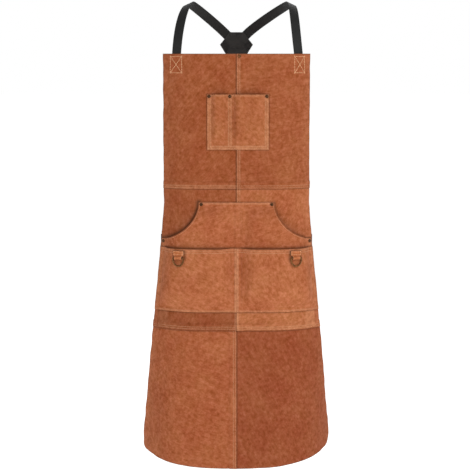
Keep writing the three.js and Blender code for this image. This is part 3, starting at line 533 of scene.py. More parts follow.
def math_node(group, operation, a, b=None, c=None):
    node = add(group.nodes, "ShaderNodeMath", operation=operation)
    for socket, value in zip(node.inputs, (a, b, c)):
        if value is None:
            continue
        if isinstance(value, (int, float)):
            socket.default_value = value
        else:
            group.links.new(value, socket)
    return node.outputs[0]


def mix_colour(group, factor, a, b):
    node = add(group.nodes, "ShaderNodeMix", data_type="RGBA")
    for socket, value in ((node.inputs[0], factor), (node.inputs[6], a), (node.inputs[7], b)):
        if isinstance(value, (int, float, tuple)):
            socket.default_value = value
        else:
            group.links.new(value, socket)
    return node.outputs[2]


def suede_group():
    group, take, give = new_finish(
        "suede_nap", (0.4, 0.12, 0.05), "Rubbed Colour", (0.6, 0.25, 0.12), ("Rub", "NodeSocketFloat", 0.0),
        ("Soil Colour", "NodeSocketColor", (0.070, 0.027, 0.012, 1)), ("Soil", "NodeSocketFloat", 0.0),
        ("Contrast", "NodeSocketFloat", 1.0))
    place = take.outputs["Place"]
    clouds = noise(group, place, 17.0, 3.0, 0.55)
    mottle = noise(group, place, 105.0, 4.0, 0.66)
    nap = noise(group, place, 750.0, 3.0, 0.7)
    brushed = add(group.nodes, "ShaderNodeMapping")
    brushed.inputs["Scale"].default_value = (1.0, 1.0, 0.22)
    brushed.inputs["Rotation"].default_value = (0, 0.55, 0)
    group.links.new(place, brushed.inputs["Vector"])
    strokes = noise(group, brushed.outputs[0], 260.0, 3.0, 0.62)
    shade = math_node(group, "MULTIPLY_ADD", clouds, 0.36, -0.18)
    shade = math_node(group, "MULTIPLY_ADD", mottle, 1.15, math_node(group, "SUBTRACT", shade, 0.575))
    shade = math_node(group, "MULTIPLY_ADD", strokes, 0.55, math_node(group, "SUBTRACT", shade, 0.275))
    shade = math_node(group, "MULTIPLY_ADD", nap, 0.45, math_node(group, "SUBTRACT", shade, 0.225))
    shade = math_node(group, "MULTIPLY", shade, take.outputs["Contrast"])
    value = math_node(group, "ADD", shade, 1.0)
    tone = add(group.nodes, "ShaderNodeHueSaturation")
    group.links.new(take.outputs["Colour"], tone.inputs["Color"])
    group.links.new(value, tone.inputs["Value"])
    group.links.new(math_node(group, "MULTIPLY_ADD", clouds, 0.016, 0.492), tone.inputs["Hue"])
    group.links.new(math_node(group, "MULTIPLY_ADD", shade, -0.2, 1.0), tone.inputs["Saturation"])
    paled = add(group.nodes, "ShaderNodeHueSaturation")
    group.links.new(take.outputs["Rubbed Colour"], paled.inputs["Color"])
    group.links.new(math_node(group, "MULTIPLY_ADD", shade, 0.7, 1.0), paled.inputs["Value"])
    # This mask pales rubbed seams and edges, and also paints a highlight towards the side edges.
    uneven = math_node(group, "MULTIPLY_ADD", mottle, 1.3, -0.05)
    amount = math_node(group, "MULTIPLY", take.outputs["Rub"], uneven)
    amount = math_node(group, "MINIMUM", amount, 0.9)
    colour = mix_colour(group, amount, tone.outputs["Color"], paled.outputs["Color"])
    # This mask darkens towards dark brown: painted shade beside edges that lie on the piece, and dirt on raw
    # edges.
    patchy = math_node(group, "MULTIPLY_ADD", mottle, 0.7, 0.5)
    shade_and_dirt = math_node(group, "MULTIPLY", take.outputs["Soil"], patchy)
    colour = mix_colour(group, math_node(group, "MINIMUM", shade_and_dirt, 0.92), colour, take.outputs["Soil Colour"])
    rough = math_node(group, "MULTIPLY_ADD", mottle, 0.16, 0.80)
    rough = math_node(group, "MULTIPLY_ADD", take.outputs["Rub"], -0.07, rough)
    tall = math_node(group, "MULTIPLY_ADD", nap, 0.45, math_node(group, "MULTIPLY", mottle, 0.55))
    return finished(group, give, colour, rough, math_node(group, "MULTIPLY_ADD", strokes, 0.35, tall))


SUEDE = suede_group()
print("suede group has", len(SUEDE.nodes), "nodes")

# %% A function that mixes one finish from a group
def finish_from(name, group, values, shift=(0, 0, 0), turn=0.0, specular=0.25, sheen=0.0, metallic=0.0,
                bump=(0.5, 0.0006), masks=(), coordinates="Object", sheen_tint=(1, 1, 1, 1)):
    """A material around one node group: coordinates in, colour, roughness and bump out."""
    material = bpy.data.materials.new(name)
    material.use_nodes = True
    tree = material.node_tree
    shader = tree.nodes["Principled BSDF"]
    shader.inputs["Specular IOR Level"].default_value = specular
    shader.inputs["Sheen Weight"].default_value = sheen
    shader.inputs["Sheen Roughness"].default_value = 0.55
    shader.inputs["Sheen Tint"].default_value = sheen_tint
    shader.inputs["Metallic"].default_value = metallic
    where = add(tree.nodes, "ShaderNodeTexCoord")
    mapping = add(tree.nodes, "ShaderNodeMapping")
    mapping.inputs["Location"].default_value = shift
    mapping.inputs["Rotation"].default_value = (0, turn, 0)
    tree.links.new(where.outputs[coordinates], mapping.inputs["Vector"])
    node = add(tree.nodes, "ShaderNodeGroup", node_tree=group)
    tree.links.new(mapping.outputs[0], node.inputs["Place"])
    for label, value in values.items():
        node.inputs[label].default_value = value
    for label in masks:
        reader = add(tree.nodes, "ShaderNodeAttribute", attribute_name=label.lower())
        tree.links.new(reader.outputs["Fac"], node.inputs[label])
    tree.links.new(node.outputs["Colour"], shader.inputs["Base Color"])
    tree.links.new(node.outputs["Roughness"], shader.inputs["Roughness"])
    relief_node = add(tree.nodes, "ShaderNodeBump")
    relief_node.inputs["Strength"].default_value = bump[0]
    relief_node.inputs["Distance"].default_value = bump[1]
    tree.links.new(node.outputs["Height"], relief_node.inputs["Height"])
    tree.links.new(relief_node.outputs["Normal"], shader.inputs["Normal"])
    return material


def linear(r, g, b):
    """A colour given as on a screen, 0 to 255, turned into the numbers that shaders use."""
    c = np.array([r, g, b]) / 255
    low = c / 12.92
    high = ((c + 0.055) / 1.055) ** 2.4
    return (*[float(v) for v in np.where(c <= 0.04045, low, high)], 1.0)


PANEL_SHADES = {
    "bib_left": (146, 78, 45), "bib_right": (149, 81, 48), "chest_pocket": (160, 93, 57),
    "waist_left": (144, 76, 44), "waist_right": (161, 91, 56), "kangaroo_pocket": (164, 93, 58),
    "lower_pocket_left": (166, 96, 60), "lower_pocket_right": (166, 96, 60),
    "pocket_band_left": (140, 74, 43), "pocket_band_right": (168, 100, 63),
    "skirt_left": (158, 87, 53), "skirt_right": (143, 74, 44),
}
SHEEN_WARM = (1.0, 0.78, 0.6, 1)


def suede(name, shade, number, contrast=1.0):
    turn = 2.399 * number
    shift = (1.7 * number, 0.9 * number, -1.3 * number)
    rubbed_and_highlight = linear(*[min(255, v + lift) for v, lift in zip(shade, (22, 29, 29))])
    values = {"Colour": linear(*shade), "Rubbed Colour": rubbed_and_highlight, "Contrast": contrast}
    return finish_from(name, SUEDE, values, shift, turn, specular=0.12, sheen=0.05, masks=("Rub", "Soil"),
                       sheen_tint=SHEEN_WARM)


flesh_side = finish_from("suede_flesh_side", SUEDE, {"Colour": linear(178, 118, 84), "Contrast": 0.8},
                         (3.1, 2.2, 0.4), 0.8, specular=0.12, sheen=0.06, sheen_tint=SHEEN_WARM)
cut_edge = finish_from("cut_edge", SUEDE, {"Colour": linear(104, 84, 64), "Contrast": 1.2},
                       (0.4, 5.1, 2.0), 0.2, specular=0.12, bump=(0.8, 0.0008))
finishes = {name: [suede("suede_" + name, shade, k + 1), flesh_side, cut_edge]
            for k, (name, shade) in enumerate(PANEL_SHADES.items())}
print(len(finishes), "shades of suede")

# %% [markdown]
# ## The six panels
# The apron is cut as a left and a right half in three tiers, because no hide is clean enough for one
# big piece. Upper tiers lie over lower ones, so sparks and slag run down and off. The right half laps
# the left in the bib and the waist, and the left laps the right in the skirt.

# %% Bib
WAIST_STEPS = crossing(height(WAIST_SEAM) + RAMP_FROM, height(WAIST_SEAM) + RAMP_TO)
bib_rows = grid_lines(height(WAIST_SEAM), TOP,
                      [*(height(WAIST_SEAM) + NEAR_EDGE), *WAIST_STEPS, *(TOP - NEAR_EDGE[:4]),
                       *(height(CHEST_TOP) + BESIDE), *(height(CHEST_BOTTOM) - BESIDE)])
for name, start, stop in (("bib_left", -BIB_HALF, LAP), ("bib_right", 0.0, BIB_HALF)):
    near = [*(start + NEAR_EDGE), *(stop - NEAR_EDGE[:5]), *-BESIDE, *(CHEST_LEFT - BESIDE),
            *(CHEST_RIGHT + BESIDE)]
    s, z = np.meshgrid(grid_lines(start, stop, near + LAP_STEPS), bib_rows, indexing="ij")
    leather(name, s, z)

# %% Waist
waist_top, waist_foot = height(WAIST_SEAM) + LAP, height(SKIRT_SEAM)
SKIRT_STEPS = crossing(height(SKIRT_SEAM) + RAMP_FROM, height(SKIRT_SEAM) + RAMP_TO)
waist_rows = grid_lines(waist_foot, waist_top,
                        [*(waist_foot + NEAR_EDGE), *SKIRT_STEPS, *(height(WAIST_SEAM) - BESIDE),
                         *(height(KANGAROO_TOP) + BESIDE)])
for side, sign in SIDES:
    inner = -LAP if sign < 0 else 0.0
    full = float(half_width(waist_foot)) - inner
    marks = [*NEAR_EDGE, *(full - NEAR_EDGE), *(BESIDE - inner)] + [m * sign - inner for m in LAP_STEPS]
    q, z = np.meshgrid(grid_lines(0, full, marks), waist_rows, indexing="ij")
    s = sign * (inner + fan(q, full, half_width(z) - inner, margin=0.036))
    s, z = facing_out(sign, s, z)
    leather(f"waist_{side}", s, z)

# %% Skirt
skirt_top = height(SKIRT_SEAM) + LAP
level = grid_lines(height(SKIRT_SEAM) - 0.010, skirt_top, list(height(SKIRT_SEAM) - BESIDE))
for (side, sign), corner in zip(SIDES, (LEFT_CORNER, RIGHT_CORNER)):
    inner = -LAP if sign > 0 else 0.0
    full = HEM_HALF - inner
    bend = [full - corner * (1 - math.sin(a)) for a in np.linspace(0, np.pi / 2, 12)[:-1]]
    marks = [*NEAR_EDGE, *bend, *(full - NEAR_EDGE[:4]), *(BESIDE - inner)]
    marks += [m * sign - inner for m in LAP_STEPS]
    across = grid_lines(0, full, marks)
    foot = hem_height(sign * (inner + across))
    share = grid_lines(0, 1, [], STEP / (level[0] - height(LENGTH)))[1:]
    low = foot[:, None] + np.concatenate([[0], NEAR_EDGE[:4]])
    z = np.concatenate([low, low[:, -1:] + (level[0] - low[:, -1:]) * share,
                        np.repeat(level[None, 1:], len(across), axis=0)], axis=1)
    q = np.repeat(across[:, None], z.shape[1], axis=1)
    s = sign * (inner + fan(q, full, half_width(z) - inner, margin=0.036))
    s, z = facing_out(sign, s, z)
    leather(f"skirt_{side}", s, z)

# %% [markdown]
# ## The pockets
# The chest pocket is a rectangle with a row of stitching that parts a narrow pencil slot from the wide
# side. The kangaroo pocket has a curved hand opening at each side; its columns lean so that they follow
# both the opening and the flaring side edge. Two lower pockets lie on its front, and a strip of
# thicker-looking leather below them takes the wear at the skirt seam.

# %% Chest pocket
chest_marks = [*(CHEST_LEFT + NEAR_EDGE), *(CHEST_RIGHT - NEAR_EDGE), *crossing(-0.007, -0.001), *LAP_STEPS]
for off in (0.0, 0.0022, DIVIDER_ROW, 0.0045, 0.0055):
    chest_marks += [CHEST_DIVIDER - off, CHEST_DIVIDER + off]
chest_rows = grid_lines(height(CHEST_BOTTOM), height(CHEST_TOP),
                        [*(height(CHEST_BOTTOM) + NEAR_EDGE), *(height(CHEST_TOP) - NEAR_EDGE[:7])], 0.004)
s, z = np.meshgrid(grid_lines(CHEST_LEFT, CHEST_RIGHT, chest_marks, 0.004), chest_rows, indexing="ij")
leather("chest_pocket", s, z)

# %% Kangaroo pocket
bottom, bottom_half = height(POCKET_BOTTOM), float(half_width(height(POCKET_BOTTOM))) - POCKET_INSET
straight = grid_lines(0, KANGAROO_HALF, [0.001, 0.002, 0.0035, *LAP_STEPS[:5], 0.0955, 0.095, 0.094])
arc = HAND_CURVE[::4][1:]
arc = np.concatenate([arc, HAND_CURVE[-1:]]) if not np.allclose(arc[-1], HAND_CURVE[-1]) else arc
top_s = np.concatenate([straight, arc[:, 0]])
top_z = np.concatenate([np.full(len(straight), height(KANGAROO_TOP)), arc[:, 1]])
stretch = (bottom_half - KANGAROO_HALF) / (HAND_CURVE[-1, 0] - KANGAROO_HALF)
low_s = np.where(top_s > KANGAROO_HALF, KANGAROO_HALF + (top_s - KANGAROO_HALF) * stretch, top_s)
level = grid_lines(bottom, height(POCKET_MOUTH) + 0.0065, list(height(POCKET_MOUTH) + BESIDE))
share = grid_lines(0, 1, [], STEP / 0.09)[1:]
z = level[-1] + (top_z[:, None] - NEAR_EDGE[9] - level[-1]) * share
z = np.concatenate([np.repeat(level[None], len(top_z), axis=0), z,
                    top_z[:, None] - np.concatenate([NEAR_EDGE[8::-1], [0]])], axis=1)
along = (z - bottom) / (top_z[:, None] - bottom)
s = low_s[:, None] + (top_s - low_s)[:, None] * along
bow = (half_width(z[-1]) - POCKET_INSET) - s[-1]
s = s + bow * np.clip((low_s[:, None] - 0.15) / (bottom_half - 0.15), 0, 1)
s, z = np.concatenate([-s[:0:-1], s]), np.concatenate([z[:0:-1], z])
leather("kangaroo_pocket", s, z)

# %% Lower pockets and the band under them
pocket_rows = grid_lines(bottom, height(POCKET_MOUTH),
                         [*(bottom + NEAR_EDGE), *(height(POCKET_MOUTH) - NEAR_EDGE), *(TAB_TOP + BESIDE[:3]),
                          *(TAB_TOP - 0.021 - BESIDE[:3])], 0.0045)
for side, sign in SIDES:
    full = bottom_half - POCKET_GAP
    wide = float(half_width(TAB_TOP)) - POCKET_INSET - POCKET_GAP
    tab_edges = [RING_AT[side] - 0.014 - BESIDE[:3], RING_AT[side] + 0.014 + BESIDE[:3]]
    tab_marks = [0.025 + (m - 0.025) * (full - 0.05) / (wide - 0.05) for edge in tab_edges for m in edge]
    columns = grid_lines(0, full, [*NEAR_EDGE, *(full - NEAR_EDGE), *LAP_STEPS[:5], *tab_marks])
    q, z = np.meshgrid(columns, pocket_rows, indexing="ij")
    s = sign * (POCKET_GAP + fan(q, full, half_width(z) - POCKET_INSET - POCKET_GAP, margin=0.025))
    s, z = facing_out(sign, s, z)
    leather(f"lower_pocket_{side}", s, z)
band_rows = grid_lines(BAND_FOOT, bottom - 0.0006,
                       [*(BAND_FOOT + NEAR_EDGE), *SKIRT_STEPS, *(bottom - BESIDE[1:])], 0.004)
for side, sign in SIDES:
    marks = [POCKET_GAP + d for d in NEAR_EDGE] + [BAND_REACH - d for d in NEAR_EDGE[:4]]
    marks += [abs(m) for m in LAP_STEPS]
    s, z = np.meshgrid(sign * grid_lines(POCKET_GAP, BAND_REACH, marks), band_rows, indexing="ij")
    s, z = facing_out(sign, s, z)
    leather(f"pocket_band_{side}", s, z)

# %% [markdown]
# ## Webbing
# Nylon webbing is woven flat, with rounded selvedges. It is modelled directly as a ribbon along a
# path, because a simulation would only blur its edges. Its weave follows a UV map: one unit across
# and along for each metre, so the ribs stay square to the strap however it turns.

# %% The weave and the webbing's finish
WEFT_PITCH, WARP_PITCH = 0.0026, 0.0021


def rib(group, place):
    """Rises and falls once for each whole step of place, as threads do that lie side by side."""
    return math_node(group, "ABSOLUTE", math_node(group, "SINE", math_node(group, "MULTIPLY", place, math.pi)))


def weave_group():
    group, take, give = new_finish("webbing_weave", (0.004, 0.004, 0.004), "Light Colour", (0.026, 0.026, 0.025))
    split = add(group.nodes, "ShaderNodeSeparateXYZ")
    group.links.new(take.outputs["Place"], split.inputs[0])
    along = math_node(group, "MULTIPLY", split.outputs[0], 1 / WEFT_PITCH)
    across = math_node(group, "MULTIPLY", split.outputs[1], 1 / WARP_PITCH)
    parity = math_node(group, "MULTIPLY", math_node(group, "FLOOR", across), 0.5)
    weft, warp = rib(group, math_node(group, "ADD", along, parity)), rib(group, across)
    tall = math_node(group, "MULTIPLY", weft, math_node(group, "POWER", warp, 0.6))
    fibre = noise(group, take.outputs["Place"], 1400.0, 2.0, 0.6)
    cloud = noise(group, take.outputs["Place"], 45.0, 2.0, 0.5)
    # The rib tops are painted lighter, a painted highlight, and fibre specks and cloudy patches add real tone.
    lit = math_node(group, "MULTIPLY_ADD", fibre, 0.5, math_node(group, "MULTIPLY", tall, 0.45))
    lit = math_node(group, "MULTIPLY", lit, math_node(group, "MULTIPLY_ADD", cloud, 0.8, 0.5))
    colour = mix_colour(group, lit, take.outputs["Colour"], take.outputs["Light Colour"])
    rough = math_node(group, "MULTIPLY_ADD", fibre, 0.2, 0.52)
    return finished(group, give, colour, rough, math_node(group, "MULTIPLY_ADD", fibre, 0.2, tall))


WEAVE = weave_group()
webbing_finish = finish_from("black_nylon_webbing", WEAVE, {}, bump=(0.6, 0.0004), coordinates="UV",
                             specular=0.2)
print("weave group has", len(WEAVE.nodes), "nodes")

# %% A function that makes a ribbon of webbing
WEB_WIDTH, WEB_THICK, WEB_SEAT = 0.025, 0.0015, 0.0009
HALF_WEB = WEB_THICK / 2
UPPER_PROFILE = [(-0.478, 0.38), (-0.44, 0.5), (-0.2, 0.5), (0.2, 0.5), (0.44, 0.5), (0.478, 0.38)]
PROFILE = [(-0.5, 0.0), *UPPER_PROFILE, (0.5, 0.0), *[(x, -y) for x, y in UPPER_PROFILE[::-1]]]


def unit(v):
    return v / np.maximum(np.linalg.norm(v, axis=-1, keepdims=True), 1e-12)


def ribbon(name, points, widths):
    """A flat woven strap along points; widths holds the direction across it at each point."""
    points, widths = np.array(points, float), np.array(widths, float)
    along = unit(np.gradient(points, axis=0))
    across = unit(widths - (widths * along).sum(1, keepdims=True) * along)
    face = np.cross(along, across)
    ring = np.array(PROFILE)
    k = len(ring)
    places = points[:, None] + across[:, None] * (ring[:, :1] * WEB_WIDTH)
    places += face[:, None] * (ring[:, 1:] * WEB_THICK)
    n = len(points)
    number = np.arange(n * k).reshape(n, k)
    ahead = np.roll(number, -1, axis=1)
    quads = np.stack([number[:-1], number[1:], ahead[1:], ahead[:-1]], -1).reshape(-1, 4)
    caps = [list(number[0]), list(number[-1][::-1])]
    run = np.concatenate([[0], np.cumsum(np.linalg.norm(np.diff(points, axis=0), axis=1))])
    obj = mesh_object(name, places.reshape(-1, 3), [*quads, *caps], [webbing_finish])
    uv = obj.data.uv_layers.new(name="weave")
    corner = np.zeros(len(obj.data.loops), np.int32)
    obj.data.loops.foreach_get("vertex_index", corner)
    uvs = np.stack([run[corner // k], ring[corner % k, 0] * WEB_WIDTH + 0.1], -1)
    uv.data.foreach_set("uv", uvs.astype(np.float32).ravel())
    print(f"{name}: {run[-1] * 1000:.0f} mm of webbing")
    return obj


def bezier(a, b, c, d, steps):
    t = np.linspace(0, 1, steps + 1)[:, None]
    return (1 - t) ** 3 * a + 3 * (1 - t) ** 2 * t * b + 3 * (1 - t) * t * t * c + t**3 * d


def vec(x, y, z):
    return np.array([x, y, z], float)


# %% [markdown]
# ## Shoulder straps
# Each strap is sewn to the back of a bib corner, rises over the shoulder, and dives to the patch behind.
# The path is two smooth curves that meet at the top of the shoulder, as in the measured model, with
# more steps so that the bend looks soft.

# %% Shoulder straps
STRAP_AT = {"left": 0.153, "right": 0.158}
CREST_OUT, LEAN_IN, CREST_TURN = {"left": 0.121, "right": 0.139}, {"left": 0.006, "right": 0.010}, 0.1
STRAP_TAIL, STRAP_RISE, CREST_BACK = 0.052, 0.128, 0.135
PATCH_BACK, PATCH_Z, END_CLEAR = 0.265, TOP + 0.024, 0.004
UPPER_ANGLE, LOWER_ANGLE = math.pi / 4, 0.49
NEAR_WEB, FAR_WEB = PATCH_BACK, PATCH_BACK + WEB_THICK + GAP
RISE_REACH, CREST_REACH, PATCH_REACH = 0.088, 0.060, 0.032


def patch_line(sign, angle, vertical, distance, depth):
    return vec(sign * math.sin(angle) * distance, depth, PATCH_Z + vertical * math.cos(angle) * distance)


def lerp(a, b, t):
    return a + (b - a) * t


for side, sign in SIDES:
    s = sign * STRAP_AT[side]
    depth = NEAR_WEB if side == "left" else FAR_WEB
    foot, edge = on_apron(s, np.array([TOP - STRAP_TAIL, TOP + 0.002]), -WEB_SEAT - HALF_WEB)
    crest = vec(sign * CREST_OUT[side], CREST_BACK, TOP + STRAP_RISE)
    over = unit(vec(-sign * CREST_TURN, 1, 0))
    entry = patch_line(sign, UPPER_ANGLE, 1, 0.042, depth)
    end = patch_line(sign, UPPER_ANGLE, 1, END_CLEAR, depth)
    into_patch = unit(end - entry)
    upward = vec(-sign * LEAN_IN[side], 0.002, RISE_REACH)
    rising = bezier(edge, edge + upward, crest - CREST_REACH * over, crest, 36)
    falling = bezier(crest, crest + CREST_REACH * over, entry - PATCH_REACH * into_patch, entry, 36)
    n = outward(s)
    at_bib, at_crest = vec(n.y, -n.x, 0), vec(-0.89, 0, sign * 0.45)
    at_patch = vec(-math.cos(UPPER_ANGLE), 0, sign * math.sin(UPPER_ANGLE))
    points = [lerp(foot, edge, t) for t in np.linspace(0, 1, 9)[:-1]] + list(rising) + list(falling[1:])
    points += [lerp(entry, end, t) for t in (0.33, 0.67, 1.0)]
    widths = [at_bib] * 8 + [lerp(at_bib, at_crest, t) for t in np.linspace(0, 1, 37)]
    widths += [lerp(at_crest, at_patch, min(1, 1.2 * t)) for t in np.linspace(0, 1, 37)[1:]] + [at_patch] * 3
    strap = ribbon(f"shoulder_webbing_{side}", points, widths)
    dress(strap, [f"shoulder_strap_{side}"])

# %% [markdown]
# ## Lower straps and hip tabs
# A lower strap leaves the patch, comes round the waist, threads the plug of a side buckle and doubles
# back on itself outside. When a plug is drawn out, the strap would have to bend between the fixed patch
# and the moving plug; here it is built in place and rides on no body. A short tab of the same webbing is
# sewn to the waist panel and loops round the bar of the socket.

# %% Lower straps
HIP_Z = height(0.472)
HIP_HALF = float(half_width(HIP_Z))
BAR_HALF, SOCKET_LENGTH, PLUG_LENGTH, PLUG_THICK, TAIL_LENGTH = 0.0016, 0.034, 0.024, 0.005, 0.045
edge_base = on_apron(HIP_HALF, HIP_Z, -WEB_SEAT - HALF_WEB)
BAR_X, BAR_Y = float(edge_base[0]) - 0.0028, float(edge_base[1]) + 0.022
LOOP = BAR_HALF * math.sqrt(2) + GAP + HALF_WEB
SLOT_FRONT, SLOT_MIDDLE, SLOT_REAR, SLOT_BACK = 0.0392, 0.043, 0.047, 0.0508


def rounded_path(points, turns=2):
    """Cuts the corners of a path, again and again, so that a thread of webbing bends softly."""
    points = np.array(points, float)
    for _ in range(turns):
        a, b = points[:-1], points[1:]
        cut = np.stack([a * 0.8 + b * 0.2, a * 0.2 + b * 0.8], 1).reshape(-1, points.shape[1])
        points = np.concatenate([points[:1], cut[1:-1], points[-1:]])
    return points


for side, sign in SIDES:
    at = lambda x, y: vec(sign * (BAR_X + x), BAR_Y + y, HIP_Z)
    out = PLUG_THICK / 2 + GAP + HALF_WEB
    tail_out, plug_end = out + WEB_THICK + GAP, SOCKET_LENGTH + PLUG_LENGTH
    slot_one, slot_two = (SLOT_FRONT + SLOT_MIDDLE) / 2, (SLOT_REAR + SLOT_BACK) / 2
    bar_middle = (SLOT_MIDDLE + SLOT_REAR) / 2
    level = [at(tail_out, plug_end + TAIL_LENGTH), at(tail_out, plug_end + TAIL_LENGTH / 2),
             at(tail_out, plug_end), at(tail_out, bar_middle), at(out, slot_one),
             at(0.001, slot_one - 0.0006), at(-0.001, slot_one - 0.0006),
             at(-out + 0.0002, slot_one + 0.0006), at(-out, bar_middle),
             at(-out + 0.0002, slot_two - 0.0006), at(-0.001, slot_two + 0.0003),
             at(0.001, slot_two + 0.0003), at(out, slot_two + 0.0012),
             at(out, plug_end - 0.005), at(out, plug_end + 0.001)]
    depth = FAR_WEB if side == "left" else NEAR_WEB
    entry = patch_line(sign, LOWER_ANGLE, -1, 0.052, depth)
    end = patch_line(sign, LOWER_ANGLE, -1, END_CLEAR, depth)
    upward = unit(end - entry)
    straight = level[-1] + vec(0, TAIL_LENGTH + 0.005, 0)
    main = bezier(straight, straight + vec(-sign * 0.004, 0.095, 0.012), entry - 0.3 * upward, entry, 72)
    threaded = rounded_path([*level, straight])
    points = [*threaded, *main[1:], *[lerp(entry, end, t) for t in (0.33, 0.67, 1.0)]]
    at_patch = vec(math.cos(LOWER_ANGLE), 0, sign * math.sin(LOWER_ANGLE))
    turning = np.clip(np.linspace(0, 1, 73)[1:] * 1.5, 0, 1)
    turn = np.concatenate([np.zeros(len(threaded)), turning, [1, 1, 1]])
    widths = [lerp(vec(0, 0, 1), at_patch, t) for t in turn]
    strap = ribbon(f"lower_webbing_{side}", points, widths)
    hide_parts(f"lower_strap_{side}")
    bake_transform(strap)

# %% Hip tabs
TAB_SEWN = 0.036
for side, sign in SIDES:
    layer = lambda s, deep: on_apron(s, HIP_Z, -WEB_SEAT - HALF_WEB - deep)[:2]
    u = (HIP_HALF - FLAT_HALF) / WRAP_RADIUS
    next_layer = WEB_THICK + GAP
    outgoing = [layer(HIP_HALF - TAB_SEWN + TAB_SEWN * k / 3, 0) for k in range(4)]
    start, ahead = outgoing[-1], np.array([math.cos(u), math.sin(u)])
    beside_bar, below_bar = np.array([BAR_X + LOOP, BAR_Y]), np.array([BAR_X + LOOP, BAR_Y - 0.009])
    bend = bezier(start, start + 0.007 * ahead, below_bar, beside_bar, 6)
    half_turn = np.pi * np.arange(1, 7) / 6
    turn = [np.array([BAR_X + LOOP * math.cos(a), BAR_Y + LOOP * math.sin(a)]) for a in half_turn]
    beside = []
    for i, p in enumerate(bend[1:4][::-1]):
        face = unit(lerp(np.array([-math.sin(u), math.cos(u)]), np.array([-1.0, 0.0]), (3 - i) / 6))
        beside.append(p + face * (next_layer + 0.0001))
    clear_of_bar = np.array([BAR_X - LOOP + 0.0003, BAR_Y - LOOP])
    back = [layer(HIP_HALF - TAB_SEWN + TAB_SEWN * k / 3, next_layer) for k in (3, 2, 1, 0)]
    plan = rounded_path([*outgoing, *bend[1:], *turn, clear_of_bar, *beside, *back], turns=1)
    points = [vec(sign * x, y, HIP_Z) for x, y in plan]
    tab = ribbon(f"hip_webbing_{side}", points, [vec(0, 0, 1)] * len(points))
    dress(tab, [f"hip_tab_{side}"])

# %% [markdown]
# ## The cross patch
# Two six-sided pieces of smooth black leather sandwich the four straps where they cross. Sewn leather
# takes the shape of what is inside, so each face stands up over the webbing, sinks between the
# straps, and has a fold low down where the lower straps pull it.

# %% Black leather
def grain_group():
    group, take, give = new_finish("leather_grain", (0.002, 0.002, 0.002), "Worn Colour",
                                   (0.050, 0.048, 0.045), ("Rub", "NodeSocketFloat", 0.0))
    cells = add(group.nodes, "ShaderNodeTexVoronoi", feature="DISTANCE_TO_EDGE")
    cells.inputs["Scale"].default_value = 620.0
    group.links.new(take.outputs["Place"], cells.inputs["Vector"])
    soft = noise(group, take.outputs["Place"], 60.0, 3.0, 0.55)
    fine = noise(group, take.outputs["Place"], 500.0, 3.0, 0.6)
    crease = math_node(group, "MINIMUM", math_node(group, "MULTIPLY", cells.outputs["Distance"], 6.0), 1.0)
    worn = math_node(group, "MULTIPLY_ADD", soft, 0.7, -0.12)
    worn = math_node(group, "ADD", worn, math_node(group, "MULTIPLY", take.outputs["Rub"], 0.35))
    worn = math_node(group, "MAXIMUM", worn, 0.0)
    colour = mix_colour(group, worn, take.outputs["Colour"], take.outputs["Worn Colour"])
    rough = math_node(group, "MULTIPLY_ADD", soft, 0.25, 0.38)
    return finished(group, give, colour, rough, math_node(group, "MULTIPLY_ADD", fine, 0.4, crease))


GRAIN = grain_group()
black_leather = finish_from("black_grain_leather", GRAIN, {}, bump=(0.5, 0.0004), masks=("Rub",),
                            specular=0.22)
black_flesh = finish_from("black_leather_edge", GRAIN, {"Colour": (0.012, 0.011, 0.010, 1)},
                          bump=(0.7, 0.0004), specular=0.2)

# %% Patch halves
PATCH_HALF, PATCH_TOP_HALF, PATCH_UPPER, PATCH_LOWER = 0.044, 0.018, 0.033, 0.042
MIDDLE_DEPTH = (NEAR_WEB + FAR_WEB) / 2
SINK = 0.0016


def patch_half_width(v):
    up = PATCH_HALF + (PATCH_TOP_HALF - PATCH_HALF) * v / PATCH_UPPER
    down = PATCH_HALF + (PATCH_TOP_HALF - PATCH_HALF) * (-v) / PATCH_LOWER
    return np.where(v > 0, up, down)


def over_webbing(x, v):
    """1 where webbing lies inside the patch, falling to 0 beside it."""
    full = 0 * x
    for angle, vertical in ((UPPER_ANGLE, 1), (LOWER_ANGLE, -1)):
        for sign in (-1, 1):
            dx, dv = sign * math.sin(angle), vertical * math.cos(angle)
            along = np.clip(x * dx + v * dv, 0, 0.08)
            away = np.hypot(x - along * dx, v - along * dv)
            full = np.maximum(full, 1 - ease(away, 0.0125, 0.0185))
    return full


